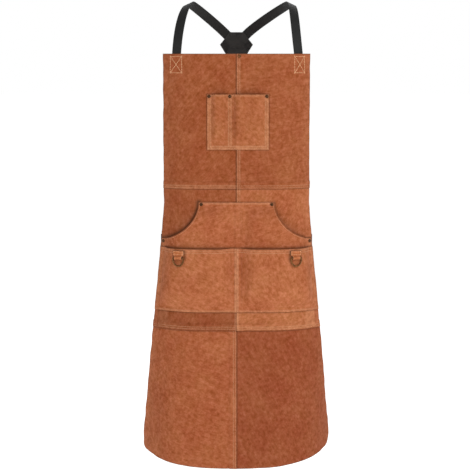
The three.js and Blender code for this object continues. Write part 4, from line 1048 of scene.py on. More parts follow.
FOLD_ROWS = [-0.013, -0.0115, -0.010, -0.0085, -0.007]
patch_rows = grid_lines(-PATCH_LOWER, PATCH_UPPER,
                        [0.0, *(-PATCH_LOWER + NEAR_EDGE[:4]), *(PATCH_UPPER - NEAR_EDGE[:4]), *FOLD_ROWS], 0.0022)
share = grid_lines(-1, 1, [-0.99, -0.97, 0.97, 0.99], 0.055)
t, v = np.meshgrid(share, patch_rows, indexing="ij")
x = t * patch_half_width(v)
border = np.minimum.reduce([(patch_half_width(v) - np.abs(x)) * 0.8, v + PATCH_LOWER, PATCH_UPPER - v])
for name, facing in (("patch_inner", -1), ("patch_outer", 1)):
    lowered = SINK * (1 - over_webbing(x, v))
    base = MIDDLE_DEPTH + facing * (HALF_WEB + GAP + (FAR_WEB - NEAR_WEB) / 2 - lowered)
    pinch = 0.0005 * np.exp(-(((border - 0.004) / 0.0012) ** 2))
    pinch += ROUNDING * np.clip(1 - border / 0.001, 0, 1) ** 2
    fold = 0.0006 * np.exp(-(((v + 0.010) / 0.0014) ** 2)) + 0.0006 * (1 - ease(v, -0.012, -0.008))
    skin = base + facing * (LEATHER - pinch - fold)
    near_face = np.stack([x, skin, v + PATCH_Z], -1)
    web_face = np.stack([x, base, v + PATCH_Z], -1)
    if facing > 0:
        near_face, web_face = near_face[::-1], web_face[::-1]
    rub = 0.8 * (1 - ease(border, 0.001, 0.003)) + 0.4 * over_webbing(x, v)
    patch = closed_sheet("leather_" + name, near_face, web_face,
                         [black_leather, black_flesh, black_flesh], rub)
    dress(patch, [name])

# %% [markdown]
# ## D-rings and their tabs
# A strip of leather is folded round the straight bar of each ring and sewn to the front of a lower
# pocket, just under its mouth. The strip is wide where it is sewn and narrow at the loop. The rings
# are bent brass wire, aged brown. They swing, so each one rides on its own body.

# %% Where a ring's tab is sewn
RING_WIRE, RING_HALF, RING_BOW, RING_CORNER, RING_CLEAR = 0.002, 0.014, 0.018, 0.003, 0.0004
TAB_DROP, TAB_PLATE, TAB_WIDTH, TAB_SEWN_DOWN = 0.018, 0.028, 0.019, 0.010
TAB_OUTER, TAB_OFF = RING_WIRE + RING_CLEAR + LEATHER, GAP + 0.0002


def ring_seat(side, sign):
    """A frame on the pocket's front: X across, Y out of the leather, Z up."""
    s, z = sign * RING_AT[side], height(POCKET_MOUTH) - 0.004
    out = outward(s)
    across = out.cross(Vector((0, 0, 1)))
    place = on_apron(s, z, float(lower_lift(s, z - TAB_DROP / 2)) + LEATHER)
    return np.array([across, out, (0, 0, 1)]).T, place


def in_seat(seat, local):
    return np.asarray(local) @ seat[0].T + seat[1]


SEATS = {side: ring_seat(side, sign) for side, sign in SIDES}
print("ring tabs at", {k: [round(float(c), 4) for c in v[1]] for k, v in SEATS.items()})

# %% Tabs
def tab_half_width(drop):
    narrow = ease(drop, TAB_SEWN_DOWN, TAB_DROP - TAB_OUTER)
    return lerp(TAB_PLATE / 2, TAB_WIDTH / 2, narrow)


bar_out = TAB_OFF + TAB_OUTER
back_run = [(TAB_OFF, -d) for d in np.linspace(0.0, TAB_DROP, 12)]
front_depth = TAB_OFF + 2 * LEATHER
meet = math.acos((front_depth - bar_out) / TAB_OUTER)
round_bar = [(bar_out + TAB_OUTER * math.cos(a), -TAB_DROP + TAB_OUTER * math.sin(a))
             for a in np.linspace(-math.pi, meet, 22)[1:]]
front_run = [(front_depth, -d) for d in np.linspace(-round_bar[-1][1] - 0.001, 0.0, 10)]
skin_path = np.array(back_run + round_bar + front_run)
along_skin = unit(np.gradient(skin_path, axis=0))
core_path = skin_path + np.stack([-along_skin[:, 1], along_skin[:, 0]], -1) * (LEATHER - 0.00008)
ACROSS_TAB = np.array([-1, -0.985, -0.94, -0.8, -0.5, 0, 0.5, 0.8, 0.94, 0.985, 1])
tab_suede = suede("suede_ring_tab", (172, 98, 58), 14)
for side, _ in SIDES:
    t, k = np.meshgrid(ACROSS_TAB, np.arange(len(skin_path)), indexing="ij")
    half = tab_half_width(-skin_path[:, 1])[k]
    skin = np.stack([t * half, skin_path[k, 0], skin_path[k, 1]], -1)
    core = np.stack([t * half, core_path[k, 0], core_path[k, 1]], -1)
    rub = 0.9 * (1 - ease(half * (1 - np.abs(t)), 0.0008, 0.003)) + 0.25
    tab = closed_sheet(f"leather_ring_tab_{side}", in_seat(SEATS[side], skin), in_seat(SEATS[side], core),
                       [tab_suede, flesh_side, cut_edge], rub, bulge=0.0001)
    dress(tab, [f"ring_tab_{side}"])

# %% Aged brass, and the rings
def aged_group():
    group, take, give = new_finish("aged_metal", (0.27, 0.125, 0.045), "Tarnish", (0.05, 0.021, 0.008))
    stain = noise(group, take.outputs["Place"], 240.0, 4.0, 0.6)
    scratch = noise(group, take.outputs["Place"], 1500.0, 2.0, 0.5)
    dark = math_node(group, "MULTIPLY_ADD", stain, 2.2, -0.6)
    dark = math_node(group, "MINIMUM", math_node(group, "MAXIMUM", dark, 0.0), 1.0)
    colour = mix_colour(group, dark, take.outputs["Colour"], take.outputs["Tarnish"])
    rough = math_node(group, "MULTIPLY_ADD", stain, 0.35, 0.22)
    return finished(group, give, colour, rough, math_node(group, "MULTIPLY_ADD", scratch, 0.4, stain))


AGED = aged_group()
aged_brass = finish_from("antique_brass", AGED, {}, metallic=1.0, bump=(0.25, 0.0002), specular=0.5)
dark_bronze = finish_from("dark_bronze", AGED,
                          {"Colour": (0.16, 0.075, 0.035, 1), "Tarnish": (0.025, 0.012, 0.008, 1)},
                          metallic=1.0, bump=(0.3, 0.0002), specular=0.5)


def closed_wire(name, path, radius, seat, finish, around=14):
    """A round wire along a closed flat path in the seat's X and Z."""
    path = np.array([(x, 0, z) for x, z in path], float)
    along = unit(np.roll(path, -1, axis=0) - np.roll(path, 1, axis=0))
    out = vec(0, 1, 0)
    in_plane = np.cross(along, out)
    a = 2 * np.pi * np.arange(around) / around
    ring = path[:, None] + radius * (np.cos(a)[:, None] * in_plane[:, None] + np.sin(a)[:, None] * out)
    n = len(path)
    number = np.arange(n * around).reshape(n, around)
    up, right = np.roll(number, -1, axis=0), np.roll(number, -1, axis=1)
    both = np.roll(up, -1, axis=1)
    faces = np.stack([number, up, both, right], -1).reshape(-1, 4)
    return mesh_object(name, in_seat(seat, ring.reshape(-1, 3) + vec(0, bar_out, -TAB_DROP)), faces, [finish])


bar = RING_HALF - RING_CORNER
corner = lambda cx, a0, a1: [(cx + RING_CORNER * math.cos(a), -RING_CORNER + RING_CORNER * math.sin(a))
                             for a in np.linspace(a0, a1, 7)]
bow = [(RING_HALF * math.cos(a), -RING_CORNER + RING_BOW * math.sin(a))
       for a in np.linspace(0, -math.pi, 41)[1:-1]]
ring_path = [(x, 0.0) for x in np.linspace(-bar, bar, 12)[1:-1]] + corner(bar, math.pi / 2, 0) + bow
ring_path += corner(-bar, math.pi, math.pi / 2)
for side, _ in SIDES:
    ring = closed_wire(f"d_ring_wire_{side}", ring_path, RING_WIRE, SEATS[side], aged_brass)
    dress(ring, [f"d_ring_{side}"], body=f"d_ring_{side}")

# %% [markdown]
# ## Side buckles
# The measured model has the buckles' true shape, but moulded plastic never has knife edges. A copy
# of each part is welded, its flat faces are joined, and a small bevel rounds every edge. The copy
# stands for the measured one and rides on the same body, so the plug still slides out of its socket.

# %% Moulded parts
def moulded_group():
    group, take, give = new_finish("moulded_skin", (0.012, 0.012, 0.013), "Scuffed", (0.05, 0.05, 0.05))
    spark = noise(group, take.outputs["Place"], 2200.0, 2.0, 0.5)
    scuff = noise(group, take.outputs["Place"], 130.0, 4.0, 0.65)
    mark = math_node(group, "MAXIMUM", math_node(group, "MULTIPLY_ADD", scuff, 2.4, -1.25), 0.0)
    colour = mix_colour(group, mark, take.outputs["Colour"], take.outputs["Scuffed"])
    return finished(group, give, colour, math_node(group, "MULTIPLY_ADD", scuff, 0.3, 0.28), spark)


MOULDED = moulded_group()
plastic = finish_from("moulded_black_acetal", MOULDED, {}, bump=(0.2, 0.00015), specular=0.5)


def moulded(node, body, width):
    """A rounded copy of a measured plastic part."""
    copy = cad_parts[node].copy()
    copy.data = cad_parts[node].data.copy()
    for key in list(copy.keys()):
        del copy[key]
    copy.parent = None
    bpy.context.scene.collection.objects.link(copy)
    weld = copy.modifiers.new("weld", "WELD")
    weld.merge_threshold = 0.00001
    flat = copy.modifiers.new("flat", "DECIMATE")
    flat.decimate_type, flat.angle_limit = "DISSOLVE", math.radians(2)
    bevel = copy.modifiers.new("bevel", "BEVEL")
    bevel.width, bevel.segments, bevel.limit_method, bevel.angle_limit = width, 2, "ANGLE", math.radians(25)
    smooth = bpy.data.meshes.new_from_object(copy.evaluated_get(bpy.context.evaluated_depsgraph_get()))
    bpy.data.objects.remove(copy)
    obj = bpy.data.objects.new("moulded_" + node, smooth)
    bpy.context.scene.collection.objects.link(obj)
    smooth.materials.clear()
    smooth.materials.append(plastic)
    smooth.polygons.foreach_set("use_smooth", [True] * len(smooth.polygons))
    smooth.set_sharp_from_angle(angle=math.radians(50))
    print(obj.name, len(smooth.polygons), "faces")
    return dress(obj, [node], body)


for side, _ in SIDES:
    moulded(f"buckle_socket_{side}", "apron", 0.0004)
    for part in ("buckle_plug", "upper_prong", "lower_prong"):
        moulded(f"{part}_{side}", f"buckle_plug_{side}", 0.0003)

# %% [markdown]
# ## Stitches
# There are thousands of stitches, all alike, each lying along its seam. Geometry Nodes is made for
# that: a seam is a line of edges, the tree turns it into a curve, sets out points one stitch apart,
# and puts a grain of thread on each, turned along the seam. The result is made a plain mesh.

# %% The stitch tree
def stitch_tree():
    tree, take, give = new_tree(
        "sew_along_lines", "GeometryNodeTree",
        [("Geometry", "NodeSocketGeometry"), ("Pitch", "NodeSocketFloat", 0.0038),
         ("Stitch Length", "NodeSocketFloat", 0.0033), ("Thread", "NodeSocketFloat", 0.0009),
         ("Unevenness", "NodeSocketFloat", 0.08), ("Seed", "NodeSocketInt", 7),
         ("Finish", "NodeSocketMaterial")], [("Geometry", "NodeSocketGeometry")])
    nodes, link = tree.nodes, tree.links.new
    curve = nodes.new("GeometryNodeMeshToCurve")
    spaced = nodes.new("GeometryNodeResampleCurve")
    spaced.mode = "LENGTH"
    link(take.outputs["Geometry"], curve.inputs["Mesh"])
    link(curve.outputs["Curve"], spaced.inputs["Curve"])
    link(take.outputs["Pitch"], spaced.inputs["Length"])
    tangent = nodes.new("GeometryNodeInputTangent")
    turn = nodes.new("FunctionNodeAlignRotationToVector")
    turn.axis = "X"
    link(tangent.outputs[0], turn.inputs["Vector"])
    grain = nodes.new("GeometryNodeMeshUVSphere")
    grain.inputs["Segments"].default_value = 6
    grain.inputs["Rings"].default_value = 5
    grain.inputs["Radius"].default_value = 0.5
    lay = nodes.new("GeometryNodeTransform")
    lay.inputs["Rotation"].default_value = (0, math.pi / 2, 0)
    link(grain.outputs["Mesh"], lay.inputs["Geometry"])
    size = nodes.new("ShaderNodeCombineXYZ")
    link(take.outputs["Stitch Length"], size.inputs["X"])
    link(take.outputs["Thread"], size.inputs["Y"])
    link(take.outputs["Thread"], size.inputs["Z"])
    vary = nodes.new("FunctionNodeRandomValue")
    vary.data_type = "FLOAT"
    low, high = nodes.new("ShaderNodeMath"), nodes.new("ShaderNodeMath")
    low.operation, high.operation = "SUBTRACT", "ADD"
    for node in (low, high):
        node.inputs[0].default_value = 1.0
        link(take.outputs["Unevenness"], node.inputs[1])
    link(low.outputs[0], vary.inputs[2])
    link(high.outputs[0], vary.inputs[3])
    link(take.outputs["Seed"], vary.inputs["Seed"])
    grown = nodes.new("ShaderNodeVectorMath")
    grown.operation = "SCALE"
    link(size.outputs[0], grown.inputs[0])
    link(vary.outputs[1], grown.inputs["Scale"])
    place = nodes.new("GeometryNodeInstanceOnPoints")
    link(spaced.outputs["Curve"], place.inputs["Points"])
    link(lay.outputs["Geometry"], place.inputs["Instance"])
    link(turn.outputs["Rotation"], place.inputs["Rotation"])
    link(grown.outputs["Vector"], place.inputs["Scale"])
    real = nodes.new("GeometryNodeRealizeInstances")
    soft = nodes.new("GeometryNodeSetShadeSmooth")
    paint = nodes.new("GeometryNodeSetMaterial")
    link(place.outputs["Instances"], real.inputs["Geometry"])
    link(real.outputs["Geometry"], soft.inputs["Geometry"])
    link(soft.outputs["Geometry"], paint.inputs["Geometry"])
    link(take.outputs["Finish"], paint.inputs["Material"])
    link(paint.outputs["Geometry"], give.inputs["Geometry"])
    return tree


SEW = stitch_tree()


def run_tree(name, mesh, tree, inputs):
    """Runs a Geometry Nodes tree on a mesh and returns the result as a plain object."""
    source = bpy.data.objects.new(name + "_lines", mesh)
    bpy.context.scene.collection.objects.link(source)
    modifier = source.modifiers.new("tree", "NODES")
    modifier.node_group = tree
    ids = {item.name: item.identifier for item in tree.interface.items_tree if item.in_out == "INPUT"}
    for label, value in inputs.items():
        modifier[ids[label]] = value
    made = bpy.data.meshes.new_from_object(source.evaluated_get(bpy.context.evaluated_depsgraph_get()))
    bpy.data.objects.remove(source)
    obj = bpy.data.objects.new(name, made)
    bpy.context.scene.collection.objects.link(obj)
    return obj


def sew(name, seams, thread, sizes=None):
    """Stitches along every seam in the list; a seam is a row of points."""
    vertices, lines = [], []
    for seam in seams:
        start = len(vertices)
        vertices += [tuple(map(float, p)) for p in seam]
        lines += [(start + k, start + k + 1) for k in range(len(seam) - 1)]
    mesh = bpy.data.meshes.new(name)
    mesh.from_pydata(vertices, lines, [])
    obj = run_tree(name, mesh, SEW, {"Finish": thread, **(sizes or {})})
    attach(obj, "apron")
    print(f"{name}: {len(seams)} rows, {len(obj.data.polygons) // 30} stitches")
    return obj


# %% Thread
def thread_group():
    group, take, give = new_finish("twisted_thread", (0.62, 0.32, 0.17), "Shadow Colour", (0.42, 0.18, 0.08))
    ply = noise(group, take.outputs["Place"], 1900.0, 2.0, 0.5)
    soil = noise(group, take.outputs["Place"], 70.0, 3.0, 0.6)
    shade_and_dirt = math_node(group, "MULTIPLY_ADD", soil, 1.5, math_node(group, "MULTIPLY_ADD", ply, 0.5, -0.65))
    shade_and_dirt = math_node(group, "MINIMUM", math_node(group, "MAXIMUM", shade_and_dirt, 0.0), 1.0)
    colour = mix_colour(group, shade_and_dirt, take.outputs["Colour"], take.outputs["Shadow Colour"])
    return finished(group, give, colour, math_node(group, "MULTIPLY_ADD", ply, 0.2, 0.6), ply)


TWIST = thread_group()
tan_thread = finish_from("tan_thread", TWIST, {}, bump=(0.4, 0.0003), sheen=0.1)
pale_thread = finish_from("pale_thread", TWIST,
                          {"Colour": (0.82, 0.47, 0.25, 1), "Shadow Colour": (0.62, 0.32, 0.16, 1)},
                          bump=(0.4, 0.0003), sheen=0.1)
black_thread = finish_from("black_thread", TWIST,
                           {"Colour": (0.03, 0.03, 0.032, 1), "Shadow Colour": (0.01, 0.01, 0.01, 1)},
                           bump=(0.4, 0.0003))

# %% [markdown]
# ## Where the seams run
# A seam on the front is a line in flat leather, laid on the piece it goes through. Where it goes on
# through to the wearer's side, the same line is sewn again there, on whichever panel lies innermost. The
# hem of a pocket's mouth holds only the pocket, so it shows on the front alone, and so do the bands' rows.

# %% Seam lines in flat leather
def line(s0, z0, s1, z1, step=0.004):
    n = max(2, int(math.hypot(s1 - s0, z1 - z0) / step))
    return np.linspace(s0, s1, n + 1), np.linspace(z0, z1, n + 1)


def down_side(sign, inset, z0, z1, step=0.004):
    z = np.linspace(z0, z1, max(2, int(abs(z1 - z0) / step)) + 1)
    return sign * (half_width(z) - inset), z


panel_seams, pocket_seams = [], []
for row in LAPPED_ROWS:
    waist_z, skirt_z = height(WAIST_SEAM) + row, height(SKIRT_SEAM) + row
    panel_seams += [("bib_left", *line(-BIB_HALF + 0.003, waist_z, -0.001, waist_z)),
                    ("bib_right", *line(0.001, waist_z, BIB_HALF - 0.003, waist_z)),
                    ("bib_right", *line(row, TOP - 0.002, row, height(CHEST_TOP) + 0.002)),
                    ("bib_right", *line(row, height(CHEST_BOTTOM) - 0.002, row, height(WAIST_SEAM) + 0.002)),
                    ("waist_right", *line(row, height(WAIST_SEAM) - 0.002,
                                          row, height(KANGAROO_TOP) + 0.002)),
                    ("skirt_left", *line(-row, height(SKIRT_SEAM) - 0.002, -row, height(LENGTH) + 0.003))]
    for side, sign in SIDES:
        panel_seams.append((f"waist_{side}", *line(sign * (BAND_REACH + 0.003), skirt_z, sign * 0.231, skirt_z)))
for row in TURNED_ROWS:
    foot, top = height(CHEST_BOTTOM) + row, height(CHEST_TOP) - 0.0120
    pocket_seams += [("chest_pocket", *line(CHEST_LEFT + row, top, CHEST_LEFT + row, foot)),
                     ("chest_pocket", *line(CHEST_RIGHT - row, top, CHEST_RIGHT - row, foot)),
                     ("chest_pocket", *line(CHEST_LEFT + row, foot, CHEST_RIGHT - row, foot))]
    for side, sign in SIDES:
        pocket, band = f"lower_pocket_{side}", f"pocket_band_{side}"
        low, mouth = height(POCKET_BOTTOM) + BOTTOM_ROW, height(POCKET_MOUTH)
        inset = POCKET_INSET + row
        pocket_seams += [
            (pocket, *down_side(sign, inset, mouth - 0.002, low)),
            (band, *line(sign * 0.004, BAND_FOOT + row, sign * (BAND_REACH - 0.002), BAND_FOOT + row)),
            ("kangaroo_pocket", *down_side(sign, inset, height(HAND_CORNER) - 0.006, mouth + 0.003))]
for side, sign in SIDES:
    pocket, low = f"lower_pocket_{side}", height(POCKET_BOTTOM) + BOTTOM_ROW
    for drop in POCKET_ROWS:
        z0 = height(POCKET_MOUTH) - drop
        reach = float(half_width(z0)) - POCKET_INSET - 0.002
        pocket_seams.append((pocket, *line(sign * 0.003, z0, sign * reach, z0)))
    pocket_seams.append((pocket, *line(sign * 0.003, low, sign * (float(half_width(low)) - 0.006), low)))
    seam = sign * (POCKET_GAP + 0.0036)
    pocket_seams.append((pocket, *line(seam, height(POCKET_MOUTH) - 0.002, seam, low)))
    pocket_seams.append((f"pocket_band_{side}", *line(seam, height(POCKET_BOTTOM) - 0.002, seam, BAND_FOOT)))
    inner_curve = HAND_CURVE[6::3]
    step_in = unit(np.gradient(inner_curve, axis=0))
    sewn = inner_curve + MOUTH_ROW * np.stack([step_in[:, 1], -step_in[:, 0]], -1)
    pocket_seams.append(("kangaroo_pocket", sign * sewn[:, 0], sewn[:, 1]))
for off in (-DIVIDER_ROW, DIVIDER_ROW):
    pocket_seams.append(("chest_pocket", *line(CHEST_DIVIDER + off, height(CHEST_TOP) - 0.009,
                                               CHEST_DIVIDER + off, height(CHEST_BOTTOM) + 0.010)))
for pocket, s0, s1, top in (
        ("chest_pocket", CHEST_LEFT + 0.009, CHEST_RIGHT - 0.009, CHEST_TOP),
        ("kangaroo_pocket", -KANGAROO_HALF + 0.012, KANGAROO_HALF - 0.012, KANGAROO_TOP)):
    pocket_seams.append((pocket, *line(s0, height(top) - MOUTH_ROW, s1, height(top) - MOUTH_ROW)))
print(len(panel_seams), "panel seams and", len(pocket_seams), "pocket seams")

# %% Sew the fronts
PROUD = 0.00022


def box_and_cross(s0, s1, z0, z1):
    """A square of stitching with a cross in it, which spreads a strap's pull over the leather."""
    corners = [(s0, z0), (s1, z0), (s1, z1), (s0, z1), (s0, z0)]
    sides = [line(*a, *b) for a, b in zip(corners, corners[1:])]
    return sides + [line(s0, z0, s1, z1), line(s0, z1, s1, z0)]


sew("panel_stitching", [front_of(n, s, z, PROUD) for n, s, z in panel_seams], tan_thread)
sew("pocket_stitching", [front_of(n, s, z, PROUD) for n, s, z in pocket_seams], tan_thread)
STRAP_BOX = {"left": (-0.1535, 0.0156), "right": (0.1605, 0.0138)}
anchor_rows, anchor_back = [], []
for side, sign in SIDES:
    s, half = STRAP_BOX[side]
    for row_s, row_z in box_and_cross(s - half, s + half, TOP - 0.0475, TOP - 0.0065):
        anchor_rows.append(front_of(f"bib_{side}", row_s, row_z, PROUD))
        inner_s = sign * STRAP_AT[side] + (row_s - s) * 0.7
        anchor_back.append(on_apron(inner_s, row_z, -WEB_SEAT - WEB_THICK - 0.0001))
sew("strap_anchor_stitching", anchor_rows, pale_thread, sizes={"Thread": 0.0015})
sew("strap_anchor_stitching_behind", anchor_back, black_thread)

# %% Sew the wearer's side
def innermost(s, z):
    """Lift of the back face that the wearer touches."""
    bib = np.where(s < LAP, LIFTS["bib_left"](s, z), LIFTS["bib_right"](s, z))
    waist = np.where(s < LAP, LIFTS["waist_left"](s, z), LIFTS["waist_right"](s, z))
    skirt = np.where(s > -LAP, 0 * s, LIFTS["skirt_left"](s, z))
    in_bib, in_waist = z > height(WAIST_SEAM) + LAP, z > height(SKIRT_SEAM) + LAP
    return np.where(in_bib, bib, np.where(in_waist, waist, skirt))


behind = []
for name, s, z in panel_seams + pocket_seams:
    top_hem = np.ptp(z) < 0.0001 and (name == "kangaroo_pocket" or abs(z[0] - height(CHEST_TOP)) < 0.006
                                      or abs(z[0] - height(POCKET_MOUTH)) < 0.011)
    curved_mouth = name == "kangaroo_pocket" and np.ptp(s) > 0.05
    if not (top_hem or curved_mouth or name.startswith("pocket_band")):
        behind.append(on_apron(s, z, innermost(s, z) - 0.0002))
sew("stitching_behind", behind, tan_thread)

# %% Sew the tabs and the patch
tab_rows = []
for side, _ in SIDES:
    half, up, low = TAB_PLATE / 2 - 0.0028, -0.0025, -0.0095
    for row_x, row_z in box_and_cross(-half, half, low, up)[:4]:
        local = np.stack([row_x, 0 * row_x + front_depth + 0.0002, row_z], -1)
        tab_rows.append(in_seat(SEATS[side], local))
sew("ring_tab_stitching", tab_rows, pale_thread,
    sizes={"Pitch": 0.0032, "Stitch Length": 0.0028, "Thread": 0.0008})

hexagon = [(-PATCH_HALF, 0), (-PATCH_TOP_HALF, -PATCH_LOWER), (PATCH_TOP_HALF, -PATCH_LOWER), (PATCH_HALF, 0),
           (PATCH_TOP_HALF, PATCH_UPPER), (-PATCH_TOP_HALF, PATCH_UPPER), (-PATCH_HALF, 0)]
inner_hexagon = [(x * 0.88, v * 0.88) for x, v in hexagon]
patch_lines = []
for facing in (-1, 1):
    rows = [line(*a, *b) for a, b in zip(inner_hexagon, inner_hexagon[1:])]
    rows.append(line(-0.026, -0.010, 0.026, -0.010))
    for row_x, row_v in rows:
        lowered = SINK * (1 - over_webbing(row_x, row_v))
        deep = MIDDLE_DEPTH + facing * (HALF_WEB + GAP + 0.0009 - lowered + LEATHER - 0.0003)
        patch_lines.append(np.stack([row_x, deep, row_v + PATCH_Z], -1))
sew("patch_stitching", patch_lines, black_thread)

hip_rows = []
for side, sign in SIDES:
    s0, s1 = HIP_HALF - TAB_SEWN + 0.003, HIP_HALF - 0.006
    for row_s, row_z in box_and_cross(s0, s1, HIP_Z - 0.0095, HIP_Z + 0.0095):
        hip_rows.append(on_apron(sign * row_s, row_z, -WEB_SEAT - 2 * WEB_THICK - GAP - 0.0001))
sew("hip_tab_stitching", hip_rows, black_thread)

# %% [markdown]
# ## Rivets
# A rivet takes the pull at each corner of a pocket, where stitches would tear out. One cap is turned on
# a lathe profile, with a rolled rim, a dished ring and a centre nub, and Geometry Nodes puts a copy at
# each marked corner, facing out of the leather. The small eyelet at the top of the bib has an open
# middle.

# %% Caps from a lathe profile
def lathe(name, profile, finish, around=20):
    """Spins a profile of (radius, height) pairs round the Z axis into a closed mesh."""
    radius, tall = np.array(profile).T
    a = 2 * np.pi * np.arange(around) / around
    ring = np.stack([radius[:, None] * np.cos(a), radius[:, None] * np.sin(a),
                     np.repeat(tall[:, None], around, 1)], -1)
    closed = radius[0] > 0
    number = np.arange(len(profile) * around).reshape(len(profile), around)
    ahead = np.roll(number, -1, axis=1)
    pairs = [(k, (k + 1) % len(profile)) for k in range(len(profile) - (0 if closed else 1))]
    faces = [f for a_, b_ in pairs for f in np.stack([number[a_], ahead[a_], ahead[b_], number[b_]], -1)]
    obj = mesh_object(name, ring.reshape(-1, 3), faces, [finish])
    work = bmesh.new()
    work.from_mesh(obj.data)
    bmesh.ops.remove_doubles(work, verts=work.verts, dist=1e-7)
    bmesh.ops.recalc_face_normals(work, faces=work.faces)
    work.to_mesh(obj.data)
    work.free()
    return obj


CAP = [(0.0, 0.0), (0.0041, 0.0), (0.0043, 0.0004), (0.0041, 0.0009), (0.0036, 0.0011), (0.0030, 0.0008),
       (0.0022, 0.0008), (0.0018, 0.0013), (0.0013, 0.0018), (0.0006, 0.0019), (0.0, 0.0019)]
EYELET = [(0.0017, 0.0), (0.0041, 0.0), (0.0042, 0.0005), (0.0037, 0.0013), (0.0030, 0.0016),
          (0.0022, 0.0013), (0.0017, 0.0006)]


def rivet_tree():
    tree, take, give = new_tree(
        "set_rivets", "GeometryNodeTree",
        [("Geometry", "NodeSocketGeometry"), ("Cap", "NodeSocketObject"), ("Size", "NodeSocketFloat"),
         ("Finish", "NodeSocketMaterial")], [("Geometry", "NodeSocketGeometry")])
    nodes, link = tree.nodes, tree.links.new
    cap = nodes.new("GeometryNodeObjectInfo")
    link(take.outputs["Cap"], cap.inputs["Object"])
    facing = nodes.new("GeometryNodeInputNamedAttribute")
    facing.data_type = "FLOAT_VECTOR"
    facing.inputs["Name"].default_value = "facing"
    turn = nodes.new("FunctionNodeAlignRotationToVector")
    turn.axis = "Z"
    link(facing.outputs["Attribute"], turn.inputs["Vector"])
    place = nodes.new("GeometryNodeInstanceOnPoints")
    link(take.outputs["Geometry"], place.inputs["Points"])
    link(cap.outputs["Geometry"], place.inputs["Instance"])
    link(turn.outputs["Rotation"], place.inputs["Rotation"])
    link(take.outputs["Size"], place.inputs["Scale"])
    real, paint = nodes.new("GeometryNodeRealizeInstances"), nodes.new("GeometryNodeSetMaterial")
    link(place.outputs["Instances"], real.inputs["Geometry"])
    link(real.outputs["Geometry"], paint.inputs["Geometry"])
    link(take.outputs["Finish"], paint.inputs["Material"])
    link(paint.outputs["Geometry"], give.inputs["Geometry"])
    return tree


def set_rivets(name, places, cap, finish, nodes):
    """places holds (piece, s, z); a cap is set on that piece's front at each one."""
    mesh = bpy.data.meshes.new(name)
    mesh.from_pydata([tuple(map(float, front_of(p, s, z, 0.0001))) for p, s, z in places], [], [])
    layer = mesh.attributes.new("facing", "FLOAT_VECTOR", "POINT")
    layer.data.foreach_set("vector", [c for _, s, _ in places for c in outward(s)])
    obj = run_tree(name, mesh, RIVET, {"Cap": cap, "Size": 1.0, "Finish": finish})
    obj.data.polygons.foreach_set("use_smooth", [True] * len(obj.data.polygons))
    print(name, len(places), "caps")
    return dress(obj, nodes)


RIVET = rivet_tree()
chest_z = height(CHEST_TOP) - RIVET_IN
top_s, top_z = KANGAROO_HALF - RIVET_IN - 0.002, height(KANGAROO_TOP) - RIVET_IN
corner_s = HAND_HALF - POCKET_INSET - RIVET_IN - 0.001
corner_z = height(HAND_CORNER) - RIVET_IN - 0.002
pocket_places = [("chest_pocket", CHEST_LEFT + RIVET_IN, chest_z), ("chest_pocket", CHEST_DIVIDER, chest_z),
                 ("chest_pocket", CHEST_RIGHT - RIVET_IN, chest_z)]
pocket_places += [("kangaroo_pocket", sign * top_s, top_z) for _, sign in SIDES]
pocket_places += [("kangaroo_pocket", sign * corner_s, corner_z) for _, sign in SIDES]
pocket_nodes = ["chest_rivet_left", "chest_rivet_middle", "chest_rivet_right", "pocket_top_rivet_left",
                "pocket_top_rivet_right", "pocket_side_rivet_left", "pocket_side_rivet_right"]
cap, eyelet = lathe("cap_shape", CAP, dark_bronze), lathe("eyelet_shape", EYELET, aged_brass)
set_rivets("pocket_rivets", pocket_places, cap, dark_bronze, pocket_nodes)
set_rivets("bib_eyelet", [("bib_right", LAP / 2, TOP - RIVET_IN - 0.001)], eyelet, aged_brass, ["bib_rivet"])
for shape in (cap, eyelet):
    bpy.data.objects.remove(shape)

# %% [markdown]
# ## Light, floor and camera
# The apron hangs in soft studio light: an even white surround, a broad key from the upper right, a
# weaker fill from the left and a third light behind. The floor is pale and plain. The camera stands level with the top of the bib and
# looks down a little, which is why the seams lower down seem to smile.

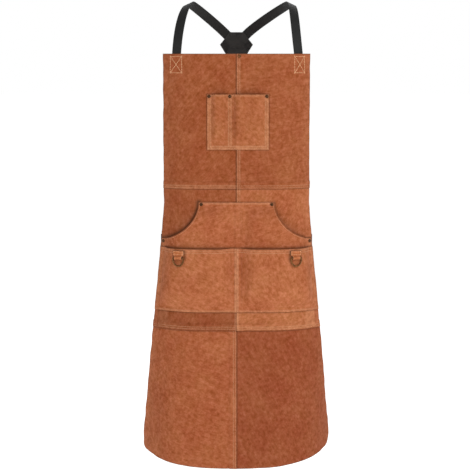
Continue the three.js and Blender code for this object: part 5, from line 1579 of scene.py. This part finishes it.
# %% Light and floor
scene = bpy.context.scene
scene.view_settings.view_transform = "Standard"
world = bpy.data.worlds.new("studio")
scene.world = world
world.use_nodes = True
tree = world.node_tree
seen = tree.nodes["Background"]
seen.inputs["Color"].default_value = (1, 1, 1, 1)
seen.inputs["Strength"].default_value = 1.0
ambient = add(tree.nodes, "ShaderNodeBackground")
ambient.inputs["Color"].default_value = (1.0, 0.99, 0.98, 1)
ambient.inputs["Strength"].default_value = 0.42
choose, path = add(tree.nodes, "ShaderNodeMixShader"), add(tree.nodes, "ShaderNodeLightPath")
tree.links.new(path.outputs["Is Camera Ray"], choose.inputs[0])
tree.links.new(ambient.outputs[0], choose.inputs[1])
tree.links.new(seen.outputs[0], choose.inputs[2])
tree.links.new(choose.outputs[0], tree.nodes["World Output"].inputs["Surface"])


def soft_light(name, place, target, size, watts):
    data = bpy.data.lights.new(name, "AREA")
    data.shape, data.size, data.energy = "SQUARE", size, watts
    obj = bpy.data.objects.new(name, data)
    obj.location = place
    obj.rotation_mode = "QUATERNION"
    obj.rotation_quaternion = (Vector(target) - Vector(place)).to_track_quat("-Z", "Y")
    scene.collection.objects.link(obj)


middle = (0, 0.05, -0.42)
soft_light("key", (1.9, -2.6, 1.5), middle, 1.6, 62)
soft_light("fill", (-2.4, -2.6, 0.2), middle, 2.2, 14)
soft_light("back", (0.4, 2.6, 1.4), middle, 2.0, 24)

floor_finish = bpy.data.materials.new("pale_floor")
floor_finish.use_nodes = True
floor_shader = floor_finish.node_tree.nodes["Principled BSDF"]
floor_shader.inputs["Base Color"].default_value = (0.9, 0.9, 0.9, 1)
floor_shader.inputs["Roughness"].default_value = 0.9
floor_shader.inputs["Specular IOR Level"].default_value = 0.1
floor_shader.inputs["Emission Color"].default_value = (1, 1, 1, 1)
floor_shader.inputs["Emission Strength"].default_value = 0.65
FLOOR_Z, FLOOR_HALF = height(LENGTH) - 0.16, 40.0
floor = mesh_object("floor", [(-FLOOR_HALF, -FLOOR_HALF, FLOOR_Z), (FLOOR_HALF, -FLOOR_HALF, FLOOR_Z),
                              (FLOOR_HALF, FLOOR_HALF, FLOOR_Z), (-FLOOR_HALF, FLOOR_HALF, FLOOR_Z)],
                    [(0, 1, 2, 3)], [floor_finish], smooth=False)

# %% Camera
FOCAL_PIXELS, IMAGE, SENSOR = 1430.0, 470.0, 36.0
lens = bpy.data.cameras.new("camera")
lens.lens, lens.sensor_width = FOCAL_PIXELS * SENSOR / IMAGE, SENSOR
camera = bpy.data.objects.new("camera", lens)
camera.location = (-0.0039, -3.6, TOP)
camera.rotation_euler = (math.radians(90 - 7.225), 0, 0)
scene.collection.objects.link(camera)
scene.camera = camera
print("lens", round(lens.lens, 2), "mm")
